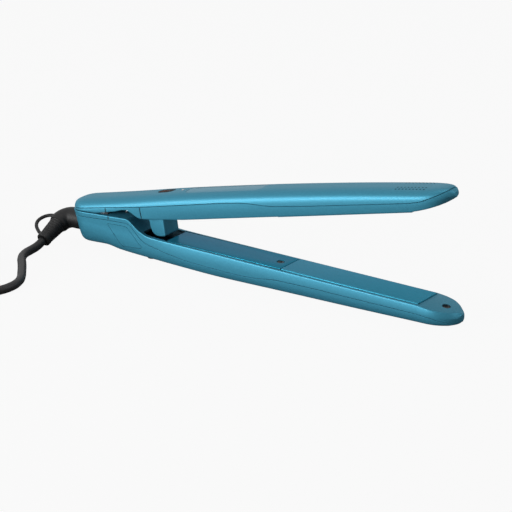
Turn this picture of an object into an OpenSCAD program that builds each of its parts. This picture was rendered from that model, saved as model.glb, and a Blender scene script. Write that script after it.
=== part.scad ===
// Hair straightener: two hinged arms with facing heated plates and a swivel cord.
// The arms are drawn closed, in the plates' own frame: x runs along the plates from their
// rear edge towards the tip, z = 0 is the plane where the plates meet. The whole is then
// opened about the hinge and set down so that the lower arm's flat belly lies on z = 0.

/* [Plates] */
// Length of the heated plates
plate_l = 120; // [105:1:135]
// Width of the heated plates
plate_w = 25.4; // [22:0.2:27]
// Thickness of a plate's face
plate_t = 2.2; // [1.8:0.1:2.6]
// Gap left between the two plates when the arms are closed
plate_gap = 0.3; // [0.2:0.1:0.6]

/* [Arms] */
// Width of an arm
arm_w = 30.8; // [30:0.2:33]
// From the hinge pin to the plates' rear edge
handle_l = 170; // [160:1:185]
// From the hinge pin to the arm's rear end
tail_l = 31; // [30:0.5:34]
// From the plates' front edge to the tip
nose_l = 29.5; // [29:0.5:33]
// How much longer the upper arm's nose is
nose_lead = 2.5; // [1:0.5:4]
// Depth of the lower arm at the front of the grip
grip_depth = 21.3; // [20.6:0.1:22.5]
// Depth of the lower arm behind the nose
nose_depth = 16; // [15.4:0.1:17]
// Extra height of the upper arm's crown at the grip
crown_rise = 0.6; // [0:0.1:1.5]
// Wall of the outer shells
wall = 1.8; // [1.5:0.1:2.1]
// Skin of the inner housings
skin = 1.8; // [1.5:0.1:2]
// Depth of the rim below the plane where the plates meet
rim = 1; // [0.8:0.1:1.2]
// Seam between an outer shell and its housing
seam = 0.25; // [0.15:0.05:0.3]

/* [Hinge] */
// How far the arms spring open
open_angle = 13.3; // [11:0.1:14]
// Height of the pin above the plane where the plates meet
hinge_h = 8.5; // [8.2:0.1:9]
// Diameter of the hinge pin
pin_d = 4; // [3:0.1:4.4]
// Radial clearance of the pin in the moving arm
pin_clear = 0.05; // [0.02:0.01:0.1]
// Radius of the hinge lugs
lug_r = 5.5; // [5:0.1:5.8]
// Thickness of each outer lug
lug_t = 3; // [2.5:0.1:3.4]
// Width of the middle knuckle
knuckle_w = 15.8; // [14:0.2:16.4]
// Outer diameter of the opening spring
spring_d = 6; // [5:0.1:6.4]
// Wire of the opening spring
spring_wire = 0.8; // [0.6:0.1:1]
// Gap between the arms' rear ends when they stand open
tail_gap = 0.8; // [0.6:0.1:1]
// Depth of the spring's seats
seat_depth = 2.6; // [2:0.1:3]

/* [Deck and guide] */
// Width of the deck behind a plate
deck_w = 24.4; // [22:0.2:24.6]
// Gap around the deck
deck_gap = 0.7; // [0.4:0.1:0.8]
// Length of the upper arm's deck
deck_l = 96; // [90:1:100]
// Length of the lower arm's deck, which reaches back to the guide post's pocket
lower_deck_l = 106; // [100:1:107]
// How far the deck stands above the rim
deck_rise = 0.65; // [0.3:0.05:0.7]
// Width of the guide post
post_w = 17; // [14:0.5:19]
// Length of the guide post along the arm
post_l = 14.5; // [12:0.5:15]
// Reach of the guide post past the plane where the plates meet
post_reach = 13; // [10:0.5:13.5]
// Screw hole in the deck and the nose
screw_hole_d = 6.4; // [5.6:0.1:6.6]

/* [Controls] */
// Length of the power button
button_l = 15; // [12:0.5:16]
// Width of the power button
button_w = 8.6; // [7:0.2:9]
// Travel of the power button
button_travel = 0.8; // [0.4:0.1:1]
// Clearance round the power button
button_clear = 0.2; // [0.15:0.05:0.3]
// Diameter of the light pipe
light_d = 2.4; // [2:0.1:3]
// Thickness of the control board
board_t = 1.6; // [1:0.1:1.6]

/* [Cord swivel] */
// Diameter of the elbow
elbow_d = 16.3; // [15:0.1:16.6]
// Bend radius of the elbow
elbow_bend = 9; // [8.4:0.1:9.5]
// Drop of the swivel axis below the plane where the plates meet
swivel_drop = 6.5; // [6:0.1:7]
// Turn of the elbow from straight down, towards the viewer's side
swivel_turn = 68; // [64:1:72]
// Reach of the strain relief's end from the swivel axis
relief_reach = 31.4; // [30:0.1:32]
// Diameter of the strain relief's end collar
relief_d = 11.6; // [10.8:0.1:12]
// Radial clearance of the swivel spindle
spindle_clear = 0.1; // [0.05:0.01:0.1]
// Diameter of the swivel spindle
spindle_d = 9; // [8:0.1:9.4]
// Thickness of the hang loop
loop_d = 2.8; // [2.4:0.1:3]

/* [Cord] */
// Diameter of the cord
cord_d = 6.8; // [6.4:0.1:7]
// Width of the plug
plug_w = 26; // [24:0.5:30]

/* [Hidden] */
$fn = 48;

teal = "#3F8CA8";
teal_dark = "#2C6F88";
plate_teal = "#35788F";
black = "#262626";

// Key places along the arms
hinge_x = -handle_l;
tail_x = -handle_l - tail_l;
tip_x = plate_l + nose_l;
half_w = arm_w / 2;
grip_x = -60;            // front of the grip, where the flat of the belly begins
flat_end = plate_l + 10; // where the flat of the belly ends
rest_x = (grip_x + flat_end) / 2;
rest_depth = (grip_depth + nose_depth) / 2;
pitch = atan((grip_depth - nose_depth) / (flat_end - grip_x));
tail_r = 16;             // plan radius of the rear end
nose_r = nose_l - 5;     // length of the rounded nose

// ---- small helpers ----
function unit(v) = v / norm(v);
function clamp01(t) = min(1, max(0, t));
function find(k, x, i = 0) = i >= len(k) - 2 || x < k[i + 1][0] ? i : find(k, x, i + 1);
function slope(k, i) =
    let (a = max(0, i - 1), b = min(len(k) - 1, i + 1)) (k[b][1] - k[a][1]) / (k[b][0] - k[a][0]);
// Smooth curve through knots [x, value]
function through(k, x) =
    let (i = find(k, x), d = k[i + 1][0] - k[i][0], t = clamp01((x - k[i][0]) / d))
    k[i][1] * (1 + 2 * t) * (1 - t) ^ 2 + slope(k, i) * d * t * (1 - t) ^ 2
    + k[i + 1][1] * t ^ 2 * (3 - 2 * t) + slope(k, i + 1) * d * t ^ 2 * (t - 1);
// Outline whose corners [x, z, cut] are rounded, each leg cut back by that much
function softened(p, n = 4) = [for (i = [0 : len(p) - 1])
    let (m = len(p), q = [p[i][0], p[i][1]], cut = len(p[i]) > 2 ? p[i][2] : 0,
         last = p[(i + m - 1) % m], next = p[(i + 1) % m])
    each cut == 0 ? [q] :
        let (a = q + cut * unit([last[0], last[1]] - q), b = q + cut * unit([next[0], next[1]] - q))
        [for (k = [0 : n]) let (t = k / n) a * (1 - t) ^ 2 + 2 * q * t * (1 - t) + b * t ^ 2]];
// Height of a line of [x, z] points at x
function line_at(p, x) =
    let (i = find(p, x), t = clamp01((x - p[i][0]) / (p[i + 1][0] - p[i][0]))) p[i][1] + t * (p[i + 1][1] - p[i][1]);
// Line of points moved sideways, to its left when d is positive
function beside(p, d) = [for (i = [0 : len(p) - 1])
    let (v = unit(p[min(i + 1, len(p) - 1)] - p[max(i - 1, 0)])) p[i] + d * [-v[1], v[0]]];
function reversed(p) = [for (i = [len(p) - 1 : -1 : 0]) p[i]];
function flipped(p) = [for (q = p) [q[0], -q[1], if (len(q) > 2) q[2]]];

// An (x, z) outline drawn out from y0 to y1
module side(y0, y1) {
    translate([0, y1, 0]) rotate([90, 0, 0]) linear_extrude(y1 - y0) children();
}
// Draws a moulded piece as one mesh
module moulded() {
    resize([0, 0, 0]) children();
}
module both_sides() {
    children();
    mirror([0, 1, 0]) children();
}
module box(x, y, z) {
    translate([x[0], y[0], z[0]]) cube([x[1] - x[0], y[1] - y[0], z[1] - z[0]]);
}
module rod_y(d, y0, y1) {
    translate([0, y1, 0]) rotate([90, 0, 0]) cylinder(d = d, h = y1 - y0);
}
module rod_x(d, x0, x1) {
    translate([x0, 0, 0]) rotate([0, 90, 0]) cylinder(d = d, h = x1 - x0);
}
// Tube of n sides swept along points, closed at both ends
module swept(p, r, n = 8) {
    ring = [for (i = [0 : len(p) - 1])
        let (t = unit(p[min(i + 1, len(p) - 1)] - p[max(i - 1, 0)]),
             s = unit(cross(t, abs(t[2]) > 0.9 ? [1, 0, 0] : [0, 0, 1])), u = cross(s, t))
        for (k = [0 : n - 1]) let (a = 360 * (k + 0.5) / n) p[i] + r * (cos(a) * s + sin(a) * u)];
    last = (len(p) - 1) * n;
    polyhedron(ring, concat(
        [[for (k = [n - 1 : -1 : 0]) k]],
        [for (i = [0 : len(p) - 2], k = [0 : n - 1])
            let (a = i * n + k, b = i * n + (k + 1) % n) [a, b, b + n, a + n]],
        [[for (k = [0 : n - 1]) last + k]]), convexity = 6);
}

// ---- where things stand in the world ----
module placed() {
    rotate([0, pitch, 0]) translate([-rest_x, 0, rest_depth]) children();
}
module opened() {
    placed() translate([hinge_x, 0, hinge_h]) rotate([0, -open_angle, 0])
        translate([-hinge_x, 0, -hinge_h]) children();
}
module at_swivel() {
    translate([world(tail_x, -swivel_drop)[0], 0, world(tail_x, -swivel_drop)[1]]) children();
}
function world(x, z) = [(x - rest_x) * cos(pitch) + (z + rest_depth) * sin(pitch),
    -(x - rest_x) * sin(pitch) + (z + rest_depth) * cos(pitch)];
// Where a point of the closed upper arm goes when the arm opens, and the way back
function when_open(x, z, a = open_angle) = let (u = x - hinge_x, v = z - hinge_h)
    [hinge_x + u * cos(a) - v * sin(a), hinge_h + u * sin(a) + v * cos(a)];
function seen_from_upper(x, z) = when_open(x, z, -open_angle);

// ---- the form of an arm, depth counted outwards from the plane where the plates meet ----
lower_crown = [[tail_x, 18.9], [hinge_x - 12, 19], [hinge_x + 6, 18.1], [hinge_x + 18, 19.8],
    [hinge_x + 48, 20.8], [-95, grip_depth + 0.1], [grip_x, grip_depth + 0.4], [0, grip_depth - 1.2],
    [plate_l / 2, (grip_depth + nose_depth) / 2 - 0.1], [plate_l - 8, nose_depth + 0.9],
    [tip_x - 19, nose_depth + 0.2], [tip_x - 8, nose_depth - 1], [tip_x - 3.5, nose_depth - 2.1],
    [tip_x - 1.2, nose_depth - 3.1], [tip_x, nose_depth - 4.5]];
upper_crown = [[tail_x, 19.8], [hinge_x + 20, 20], [-90, grip_depth - 1 + crown_rise],
    [-10, grip_depth - 1.3 + crown_rise], [45, grip_depth - 2.3 + crown_rise],
    [plate_l - 35, nose_depth + 1.8 + crown_rise], [plate_l, nose_depth + 0.3 + crown_rise],
    [tip_x - 14, nose_depth - 0.6 + crown_rise], [tip_x - 5, nose_depth - 1.4 + crown_rise],
    [tip_x, nose_depth - 2.9 + crown_rise], [tip_x + nose_lead, nose_depth - 5]];
// Rim of the nose, which opens like a beak
nose_rim = [[plate_l - 1, rim], [plate_l + 6, rim + 0.6], [plate_l + 14, rim + 1.6],
    [plate_l + 22, rim + 2.9], [plate_l + 26, rim + 3.8], [plate_l + 30, rim + 5.5], [plate_l + 36, rim + 7.8]];
// How far the rim draws in from the arm's side
rim_draw = [[-125, 0.25], [-90, 0.8], [plate_l + 14, 0.8], [plate_l + 22, 2], [plate_l + 26, 4.3],
    [plate_l + 30, 6.8], [plate_l + 35, 8]];

function tail_round(x, t, power) = (1 - clamp01((tail_x + tail_r - x) / (tail_r - t)) ^ power) ^ (1 / power);
function nose_round(x, t, lead) = sqrt(1 - clamp01((x - tip_x + nose_r) / (nose_r + lead - t)) ^ 2);
function width_at(x, t, lead) = (half_w - t) * min(tail_round(x, t, 2.4), nose_round(x, t, lead));
function rim_at(x) = x < plate_l - 1 ? rim : through(nose_rim, x);
// An arm is [crown, depth at its rear end, rear corner, lean of its rear end, lead of its nose].
lower_arm = [lower_crown, 8, 7, 0.42, 0];
upper_arm = [upper_crown, 13.8, 15, 0, nose_lead];
// Its section at x, t below the surface: [half width, greatest depth, shoulder, half width at rim, rim]
function section(arm, x, t) =
    let (w = width_at(x, t, arm[4]), e = rim_at(x), u = clamp01((tail_x + arm[2] - x) / (arm[2] - t)),
         deep = arm[1] + (through(arm[0], x) - t - arm[1]) * (1 - u ^ 3) ^ (1 / 3))
    [w, deep, e + (deep - e) * 0.42, max(w * 0.25, w - through(rim_draw, x)), e];
// Points go round a section from the rim (-1) past the shoulder (0) to the crown (1)
function round_at(c, s) = s > c[2] ? asin(min(1, (s - c[2]) / (c[1] - c[2])) ^ 1.5) / 90 : (s - c[2]) / (c[2] - c[4]);
function point(c, v) = v > 0 ?
    [c[0] * cos(min(90, 90 * v)) ^ (2 / 3), c[2] + (c[1] - c[2]) * sin(min(90, 90 * v)) ^ (2 / 3)] :
    [max(c[3], c[0] - (c[0] - c[3]) * min(1, -v) ^ 2), c[2] + v * (c[2] - c[4])];
// Half of a section between two depths, n steps
function arc(c, s0, s1, n) = let (a = round_at(c, s0), b = round_at(c, s1))
    [for (i = [0 : n]) point(c, a + (b - a) * i / n)];
// Flat base of as many points, from the far side in to the middle
function flat(y, s, n) = [for (i = [0 : n]) [y * 0.9 * (1 - i / n), s]];
function mirrored(h) = concat(h, [for (i = [len(h) - 2 : -1 : 0]) [-h[i][0], h[i][1]]]);
function lean_at(arm, x) = arm[3] * clamp01((hinge_x - 10 - x) / (tail_l - 10));
function leaning(arm, x, ring) = [for (q = ring) [x + lean_at(arm, x) * (q[1] + 3), q[0], q[1]]];

// Closed solid through rings that all have the same number of points; its ends fan out from point top
module loft(rings, top) {
    n = len(rings[0]);
    m = len(rings);
    polyhedron([for (r = rings) each r], concat(
        [[for (k = [0 : n - 1]) (top + k) % n]],
        [for (i = [0 : m - 2], k = [0 : n - 1])
            let (a = i * n + k, b = i * n + (k + 1) % n, c = b + n, d = a + n)
            each [[a, d, c], [a, c, b]]],
        [[for (k = [n : -1 : 1]) (m - 1) * n + (top + k) % n]]), convexity = 8);
}

tail_steps = [for (a = [78, 62, 46, 30, 14]) tail_x + tail_r * (1 - sin(a))];
nose_steps = [for (a = [6, 18, 30, 40, 50, 57, 64, 72, 80]) nose_r * (sin(a) - 1)];
// Where the hollow starts and ends
hollow = [tail_x + 4.6, tip_x - 9];

// Solid of the whole arm, t below its surface, between two places along it
module form(arm, t, x0 = tail_x, x1 = tip_x) {
    xs = [for (x = concat(tail_steps, [tail_x + tail_r, hinge_x - 6, hinge_x + 6, hinge_x + 20, hinge_x + 35,
        hinge_x + 50, -105, -90, -60])) if (x >= x0 && x <= x1) x];
    loft([for (x = xs) let (c = section(arm, x, t)) leaning(arm, x, mirrored(arc(c, -11, c[1], 10)))], 10);
}
// Outer shell: a channel over the crown, from the parting line on one side to the other.
// belly is the deepest it may reach at x.
module shell(arm, parting, belly) {
    n = 8;
    // It ends where the parting line has climbed to the crown.
    xs = [for (x = steps(arm)) if (line_at(parting, x) < section(arm, x, 0)[1] - 0.5) x];
    loft([for (x = xs) let (
        c = section(arm, x, 0), b = section(arm, x, wall), s = line_at(parting, x),
        out = [for (q = arc(c, s, c[1], n)) [q[0], min(q[1], line_at(belly, x))]],
        ins = x > hollow[0] && x < hollow[1] ? arc(b, s, b[1], n) : flat(out[0][0], s, n))
        leaning(arm, x, concat(mirrored(out), reversed(mirrored(ins))))], n);
}
// Inner housing: a channel under the rim, from the parting line on one side to the other
module housing(arm, parting, rim_line, under, xs, x0, x1) {
    n = 5;
    loft([for (x = xs) let (
        c = section(arm, x, 0), b = section(arm, x, wall), s = min(line_at(parting, x), c[1] - 0.15),
        r = line_at(rim_line, x), k = line_at(under, x),
        out = concat(arc(c, s, r, n), [[0, r]]),
        ins = x > x0 && x < x1 ? concat(arc(b, s, k, n), [[0, k]]) : flat(out[0][0], s, n + 1))
        leaning(arm, x, concat(mirrored(ins), reversed(mirrored(out))))], 3 * n + 4);
}

// Outlines in (x, z), drawn with the arms closed
function lower_tail_z(x) = hinge_h - 0.7 + (x - hinge_x) * 0.075;
lower_rim = softened(concat(
    [[tail_x - 6, lower_tail_z(tail_x - 6)], [hinge_x - 2, hinge_h - 0.75], [hinge_x + 27.6, 9.7, 2.5],
     [hinge_x + 38.5, 2.1, 3], [hinge_x + 46, -rim * 0.6, 3], [hinge_x + 58, -rim], [plate_l - 1, -rim]],
    [for (i = [1 : len(nose_rim) - 1]) [nose_rim[i][0], -nose_rim[i][1]]]));
upper_tail = [for (x = [tail_x - 6, hinge_x - 3]) seen_from_upper(x, lower_tail_z(x) + tail_gap)];
upper_rim = softened(concat(upper_tail,
    [[hinge_x + 3, 9.3], [hinge_x + 17, 9.7, 3], [hinge_x + 23.5, 10.8, 3], [hinge_x + 29.3, 10.3, 2.5],
     [hinge_x + 38.6, 3.4, 2.5], [hinge_x + 43, 2.8], [-89, rim], [plate_l - 1, rim]],
    [for (i = [1 : len(nose_rim) - 1]) nose_rim[i]]));
nose_part = [[plate_l + 2, 7.5, 6], [plate_l + 12, 8.5], [plate_l + 18, 10], [plate_l + 23, 11.2],
    [plate_l + 29, 13], [plate_l + 33, 14.8], [tip_x + 4, 17]];
upper_part = softened(concat([[tail_x - 6, 13.7], [hinge_x + 8, 12.9], [hinge_x + 42, 12.2], [-90, 12.5],
    [-45, 12.9, 6], [-24, 12.3, 10], [-4, 9, 8], [30, 8.2, 6]], nose_part));
lower_part = softened(concat([[tail_x - 6, 1.2], [hinge_x + 8, 5], [hinge_x + 29, 6.3, 4],
    [hinge_x + 42, -5.8, 6], [hinge_x + 62, -9.6, 8], [-85, -12.2, 8], [-45, -12.8, 8], [-24, -12.2, 10],
    [-4, -9, 8], [30, -8.2, 6]], flipped(nose_part)));
// The same lines for the lower arm, counted as depth
lower_rim_depth = flipped(lower_rim);
lower_part_depth = flipped(lower_part);
belly = [for (x = [-400, 400]) [x, rest_depth - (x - rest_x) * tan(pitch)]];
no_belly = [[-400, 99], [400, 99]];
rear_steps = concat(tail_steps, [tail_x + tail_r],
    [for (d = [-4, 3, 12, 23.5, 27.5, 31, 36, 39, 42, 48, 58]) hinge_x + d],
    [-90, grip_x, -44, -34, -24, -14, -4, 6, 30, plate_l / 2, plate_l - 30, plate_l - 1]);
function steps(arm) = concat(rear_steps, [for (d = nose_steps) tip_x + arm[4] + d * (1 + arm[4] / nose_r)]);

deck_front = -1;
deck_top = rim - deck_rise;
deck_seat = rim + 0.9;
post_x = [hinge_x + 43, hinge_x + 43 + post_l];
window_x = [-0.3, plate_l + 0.4];
window_y = plate_w / 2 + 0.4;
// Screws: one under the deck, one in the nose
screw_x = [-9, plate_l + 16];
screw_seat = [deck_seat, rim + 3.6];
boss_from = [rim + skin, rim + 5.2];
screw_d = 2.2;
spring_x = hinge_x + 18;
spring_mouth = lower_tail_z(spring_x) - 1;
cup_d = spring_d + 1.6;

// What both shells carry inside: pads for the plate's cushions and bosses for the screws
cushion_x = [plate_l * 0.15, plate_l * 0.85];
carrier_floor = [8, 9.8];
cushion_t = 2.5;
module inner_bosses(crown) {
    for (x = cushion_x) translate([x, 0, carrier_floor[1] + cushion_t])
        cylinder(r = 5.5, h = through(crown, x) - carrier_floor[1] - cushion_t - wall * 0.6);
    for (i = [0, 1]) translate([screw_x[i], 0, boss_from[i]]) difference() {
        cylinder(r = 3.2, h = through(crown, screw_x[i]) - boss_from[i] - wall * 0.75);
        translate([0, 0, -1]) cylinder(d = screw_d + 0.1, h = 7);
    }
}
// What is cut out of both housings for the plate, the deck and the screws
module housing_openings(deck_length) {
    box(window_x, [-window_y, window_y], [-2, rim + skin + 0.3]);
    box([deck_front - deck_length - deck_gap, window_x[0] + 0.1],
        [-deck_w / 2 - deck_gap, deck_w / 2 + deck_gap], [-2, deck_seat]);
    for (i = [0, 1]) translate([screw_x[i], 0, -2]) cylinder(d = screw_d + 0.2, h = 12);
    translate([screw_x[1], 0, -2]) cylinder(d = screw_hole_d, h = screw_seat[1] + 2);
}
module nose_pad() {
    translate([screw_x[1], 0, rim + 3]) cylinder(r = 4.6, h = boss_from[1] - rim - 3);
}
module on_lower() {
    placed() mirror([0, 0, 1]) children();
}

// ---- lower arm ----
module lower_shell() {
    color(teal) moulded() difference() {
        on_lower() {
            difference() {
                shell(lower_arm, [for (q = lower_part_depth) q + [0, seam]], belly);
                panel_recesses();
            }
            inner_bosses(lower_crown);
            bulkhead();
        }
        at_swivel() rod_x(elbow_d + 0.6, -20, elbow_in + 0.3);
        at_swivel() rod_x(bush_d + 0.1, 0, 30);
    }
}
// Wall across the rear end that holds the cord swivel
bulkhead_x = [13.5, 17];
module bulkhead() {
    intersection() {
        form(lower_arm, wall * 0.6, tail_x + 8, hinge_x);
        box([tail_x + bulkhead_x[0], tail_x + bulkhead_x[1]], [-20, 20], [1, 30]);
    }
}
module lower_housing() {
    color(teal) moulded() difference() {
        union() {
            on_lower() difference() {
                union() {
                    housing(lower_arm, lower_part_depth, lower_rim_depth, beside(lower_rim_depth, skin),
                        steps(lower_arm), hollow[0], hollow[1]);
                    nose_pad();
                }
                housing_openings(lower_deck_l);
                box([post_x[0] - 2.5, deck_front - lower_deck_l + 0.1], [-deck_w / 2, deck_w / 2], [-2, 12]);
            }
            placed() translate([spring_x, 0, spring_mouth - seat_depth - 1.2])
                cylinder(d = cup_d + 2.4, h = seat_depth + 1.6);
        }
        placed() {
            hinge_window([2, 12]);
            side_slits([5.2, 9.2], hinge_x + 9);
            translate([spring_x, 0, spring_mouth - seat_depth]) cylinder(d = cup_d, h = 9);
        }
        at_swivel() rod_x(elbow_d + 0.6, -20, elbow_in + 0.3);
    }
}
// Opening over the hinge in both housings
module hinge_window(z) {
    box([hinge_x - lug_r - 0.7, hinge_x + lug_r + 0.7], [-lug_y - lug_t - 0.4, lug_y + lug_t + 0.4], z);
}
// Shallow slits in both cheeks beside the hinge
module side_slits(z, x) {
    both_sides() box([x - 0.45, x + 0.45], [half_w - 0.6, half_w + 1], z);
}
lug_y = knuckle_w / 2 + 0.4;
foot_reach = lug_r + 3;
// Outer lugs: each stands on a foot under the lower housing's skin and holds the pin
module hinge_lugs() {
    top = [for (x = [-foot_reach, foot_reach]) [hinge_x + x, lower_tail_z(hinge_x + x) - skin - 0.15]];
    color(black) placed() both_sides() difference() {
        union() {
            side(lug_y, lug_y + lug_t) {
                translate([hinge_x, hinge_h]) circle(r = lug_r);
                translate([hinge_x - lug_r, hinge_h - 4.4]) square([2 * lug_r, 4.4]);
            }
            side(lug_y, lug_y + lug_t + 1) polygon([top[0] - [0, 1.6], top[1] - [0, 1.6], top[1], top[0]]);
        }
        translate([hinge_x, 0, hinge_h]) rod_y(pin_d, 0, 20);
    }
}
// Middle knuckle: hangs from a foot above the upper housing's skin and turns on the pin
module hinge_knuckle() {
    base = [for (x = [-foot_reach, -3, 3, foot_reach])
        [hinge_x + x, line_at(upper_rim, hinge_x + x) + skin + 0.15]];
    color(black) opened() difference() {
        side(-knuckle_w / 2, knuckle_w / 2) {
            translate([hinge_x, hinge_h]) circle(r = lug_r);
            translate([hinge_x - lug_r, hinge_h]) square([2 * lug_r, 3.6]);
            polygon(concat(base, [[base[3][0], base[0][1] + 1.3], [base[0][0], base[0][1] + 1.3]]));
        }
        translate([hinge_x, 0, hinge_h]) rod_y(pin_d + 2 * pin_clear, -20, 20);
    }
}
// Long cover behind the plate, its rear edge rolled down
module deck(length) {
    rear = deck_front - length;
    difference() {
        side(-deck_w / 2, deck_w / 2) polygon(softened([[rear, deck_seat], [rear, deck_top, 1.5],
            [deck_front, deck_top], [deck_front, deck_seat]]));
        translate([screw_x[0], 0, -1]) cylinder(d = screw_hole_d, h = 8);
    }
}
// Extruded plate: a face with rounded long edges and two legs that make the heater's channel
leg_y = [8.6, 10.2];
face_back = plate_gap / 2 + plate_t;
module plate() {
    rotate([90, 0, 90]) linear_extrude(plate_l) {
        polygon(softened([[-plate_w / 2, face_back], [-plate_w / 2, plate_gap / 2, 0.9],
            [plate_w / 2, plate_gap / 2, 0.9], [plate_w / 2, face_back]]));
        for (s = [-1, 1]) translate([s * (leg_y[0] + leg_y[1]) / 2, face_back + 2.5])
            square([leg_y[1] - leg_y[0], 5.2], center = true);
    }
}
heater_x = [10, plate_l - 10];
heater_t = 2.4;
module heater() {
    box(heater_x, [-leg_y[0] + 0.2, leg_y[0] - 0.2], [face_back, face_back + heater_t]);
}
// Wavy leaf that presses the heater on to the plate
module clip() {
    z0 = face_back + heater_t;
    waves = 4;
    line = [for (i = [0 : 4 * waves]) [heater_x[0] + 6 + i * (heater_x[1] - heater_x[0] - 12) / (4 * waves),
        z0 + 0.6 - 0.6 * cos(i * 90)]];
    side(-leg_y[0] + 0.3, leg_y[0] - 0.3) polygon(concat([for (q = line) q + [0, 0.5]], reversed(line)));
}
// Tray that carries the plate's legs; its floor lies on the cushions
module carrier() {
    out = leg_y[1] + 1.4;
    difference() {
        box([2, plate_l - 2], [-out, out], [face_back, carrier_floor[1]]);
        box([3.4, plate_l - 3.4], [-leg_y[1], leg_y[1]], [face_back - 1, carrier_floor[0]]);
        both_sides() box([0, plate_l], [leg_y[0], leg_y[1]], [face_back - 1, face_back + 5.1]);
        box([0, 4], [-2.2, 2.2], [face_back - 1, face_back + 2.2]);
        for (x = [plate_l * 0.32, plate_l * 0.68]) translate([x, 0, 0]) cylinder(d = 9, h = 20);
    }
}
module cushions() {
    for (x = cushion_x) translate([x, 0, carrier_floor[1]]) cylinder(r = 4, h = cushion_t);
}
// Thermistor on the plate's back, with its two leads
module sensor() {
    box([5, 9.6], [-2, 2], [face_back, face_back + 2]);
    for (y = [-1, 1]) translate([0, y, face_back + 1]) rod_x(0.9, 1, 5.4);
}
module screws() {
    for (i = [0, 1]) translate([screw_x[i], 0, screw_seat[i]]) {
        difference() {
            translate([0, 0, -1.1]) cylinder(d = 5, h = 1.1);
            for (a = [0, 90]) rotate(a) translate([-1.5, -0.35, -2]) cube([3, 0.7, 1.5]);
        }
        cylinder(d = screw_d, h = boss_from[i] + 5 - screw_seat[i]);
    }
}

module lower_deck() {
    color(teal_dark) on_lower() deck(lower_deck_l);
}
module lower_plate() {
    color(plate_teal) on_lower() plate();
}
module lower_carrier() {
    color("#2A2A2C") on_lower() carrier();
}
module lower_heater() {
    color("#E6E2D8") on_lower() heater();
}
module lower_clip() {
    color("#B8BCC0") on_lower() clip();
}
module lower_cushions() {
    color("#C8543A") on_lower() cushions();
}
module lower_sensor() {
    color("#D8D0B8") on_lower() sensor();
}
module lower_screws() {
    color("#8E9296") on_lower() screws();
}

// Side panels: shallow covers let into both cheeks of the lower arm. Outline in (x, depth).
panel_line = [[hinge_x + 8, -2.2, 1.5], [hinge_x + 26.5, -3.4, 2.5], [hinge_x + 42, 11, 2],
    [hinge_x + 22, 13.2, 3]];
panel_t = 0.8;
panel_end = hinge_x + 60;
module panel_recesses() {
    both_sides() difference() {
        side(9, 20) offset(delta = 0.25) polygon(softened(panel_line));
        form(lower_arm, panel_t, hinge_x, panel_end);
    }
}
module side_panels() {
    color(teal) on_lower() both_sides() intersection() {
        difference() {
            form(lower_arm, 0, hinge_x, panel_end);
            form(lower_arm, panel_t, hinge_x, panel_end);
        }
        side(9, 20) polygon(softened(panel_line));
    }
}

// Small pad that keeps the rear end off the table
module rest_foot() {
    foot_x = hinge_x + 40;
    color(black) difference() {
        intersection() {
            placed() translate([foot_x, 0, -40]) cylinder(d = 8, h = 40);
            box([-400, 400], [-30, 30], [0, 12]);
        }
        on_lower() form(lower_arm, -0.2, hinge_x + 15, -80);
    }
}

module hinge_pin() {
    color("#B8BCC0") placed() translate([hinge_x, 0, hinge_h]) difference() {
        rod_y(pin_d, -lug_y - lug_t, lug_y + lug_t);
        both_sides() translate([0, lug_y + lug_t, 0]) rotate([90, 0, 0]) cylinder(d = 1.6, h = 1);
    }
}

// Coil spring between the two arms, just ahead of the hinge
upper_mouth = 9.9;
module opening_spring() {
    turns = 5;
    bottom = [spring_x, spring_mouth - seat_depth + spring_wire / 2 + 0.05];
    top = when_open(spring_x, upper_mouth + seat_depth - spring_wire / 2 - 0.4);
    r = (spring_d - spring_wire) / 2;
    color("#C8CCD0") placed() swept([for (i = [0 : turns * 8])
        let (t = i / (turns * 8), a = 360 * turns * t, q = bottom + t * (top - bottom))
        [q[0] + r * cos(a), r * sin(a), q[1]]], spring_wire / 2, 6);
}

// ---- cord swivel, drawn about its axis with the cord's leg straight down ----
elbow_in = 8;        // how far the elbow reaches into the arm
spindle_l = 13;      // length of the spindle beyond the elbow
bush_d = spindle_d + 4;
spindle_end = elbow_in + spindle_l;
groove_x = [spindle_end - 3.2, spindle_end - 1.6];
module swivel_socket() {
    color(black) at_swivel() difference() {
        rod_x(bush_d, elbow_in + 0.3, groove_x[0] - 0.2);
        rod_x(spindle_d + 2 * spindle_clear, 0, 40);
    }
}
// Two springy fingers on the swivel's wall, touching the ring on the spindle's end
module contact_blades() {
    reach = (spindle_d - 2.4) / 2 + 0.1;
    color("#C9A24A") at_swivel() both_sides() {
        box([bulkhead_x[1], spindle_end + 2.6], [bush_d / 2 + 0.6, bush_d / 2 + 1.3], [-1, 1]);
        box([spindle_end + 1.8, spindle_end + 2.6], [reach, bush_d / 2 + 1.3], [-1, 1]);
    }
}
module retainer() {
    color("#8E9296") at_swivel() difference() {
        rod_x(spindle_d + 3, groove_x[0], groove_x[1]);
        rod_x(spindle_d - 2, 0, 40);
        box([0, 40], [-1.5, 1.5], [0, 20]);
    }
}
module contact_rings() {
    color("#C9A24A") at_swivel() difference() {
        rod_x(spindle_d - 2.4, spindle_end - 1, spindle_end + 3);
        rod_x(spindle_d - 4.4, 0, 40);
    }
}
down_x = -15;                    // the cord's leg, behind the arm's rear end
bend_x = down_x + elbow_bend;
relief_top = 11.4;               // where the strain relief starts, below the axis
relief_l = relief_reach - relief_top;
module turned() {
    at_swivel() rotate([-swivel_turn, 0, 0]) children();
}
module elbow_outside() {
    rod_x(elbow_d, bend_x, elbow_in);
    translate([bend_x, 0, -elbow_bend]) rotate([90, 0, 180])
        rotate_extrude(angle = 90) translate([elbow_bend, 0]) circle(d = elbow_d);
    translate([down_x, 0, -relief_top]) cylinder(d1 = elbow_d - 1.8, d2 = elbow_d, h = relief_top - elbow_bend);
}
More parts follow.
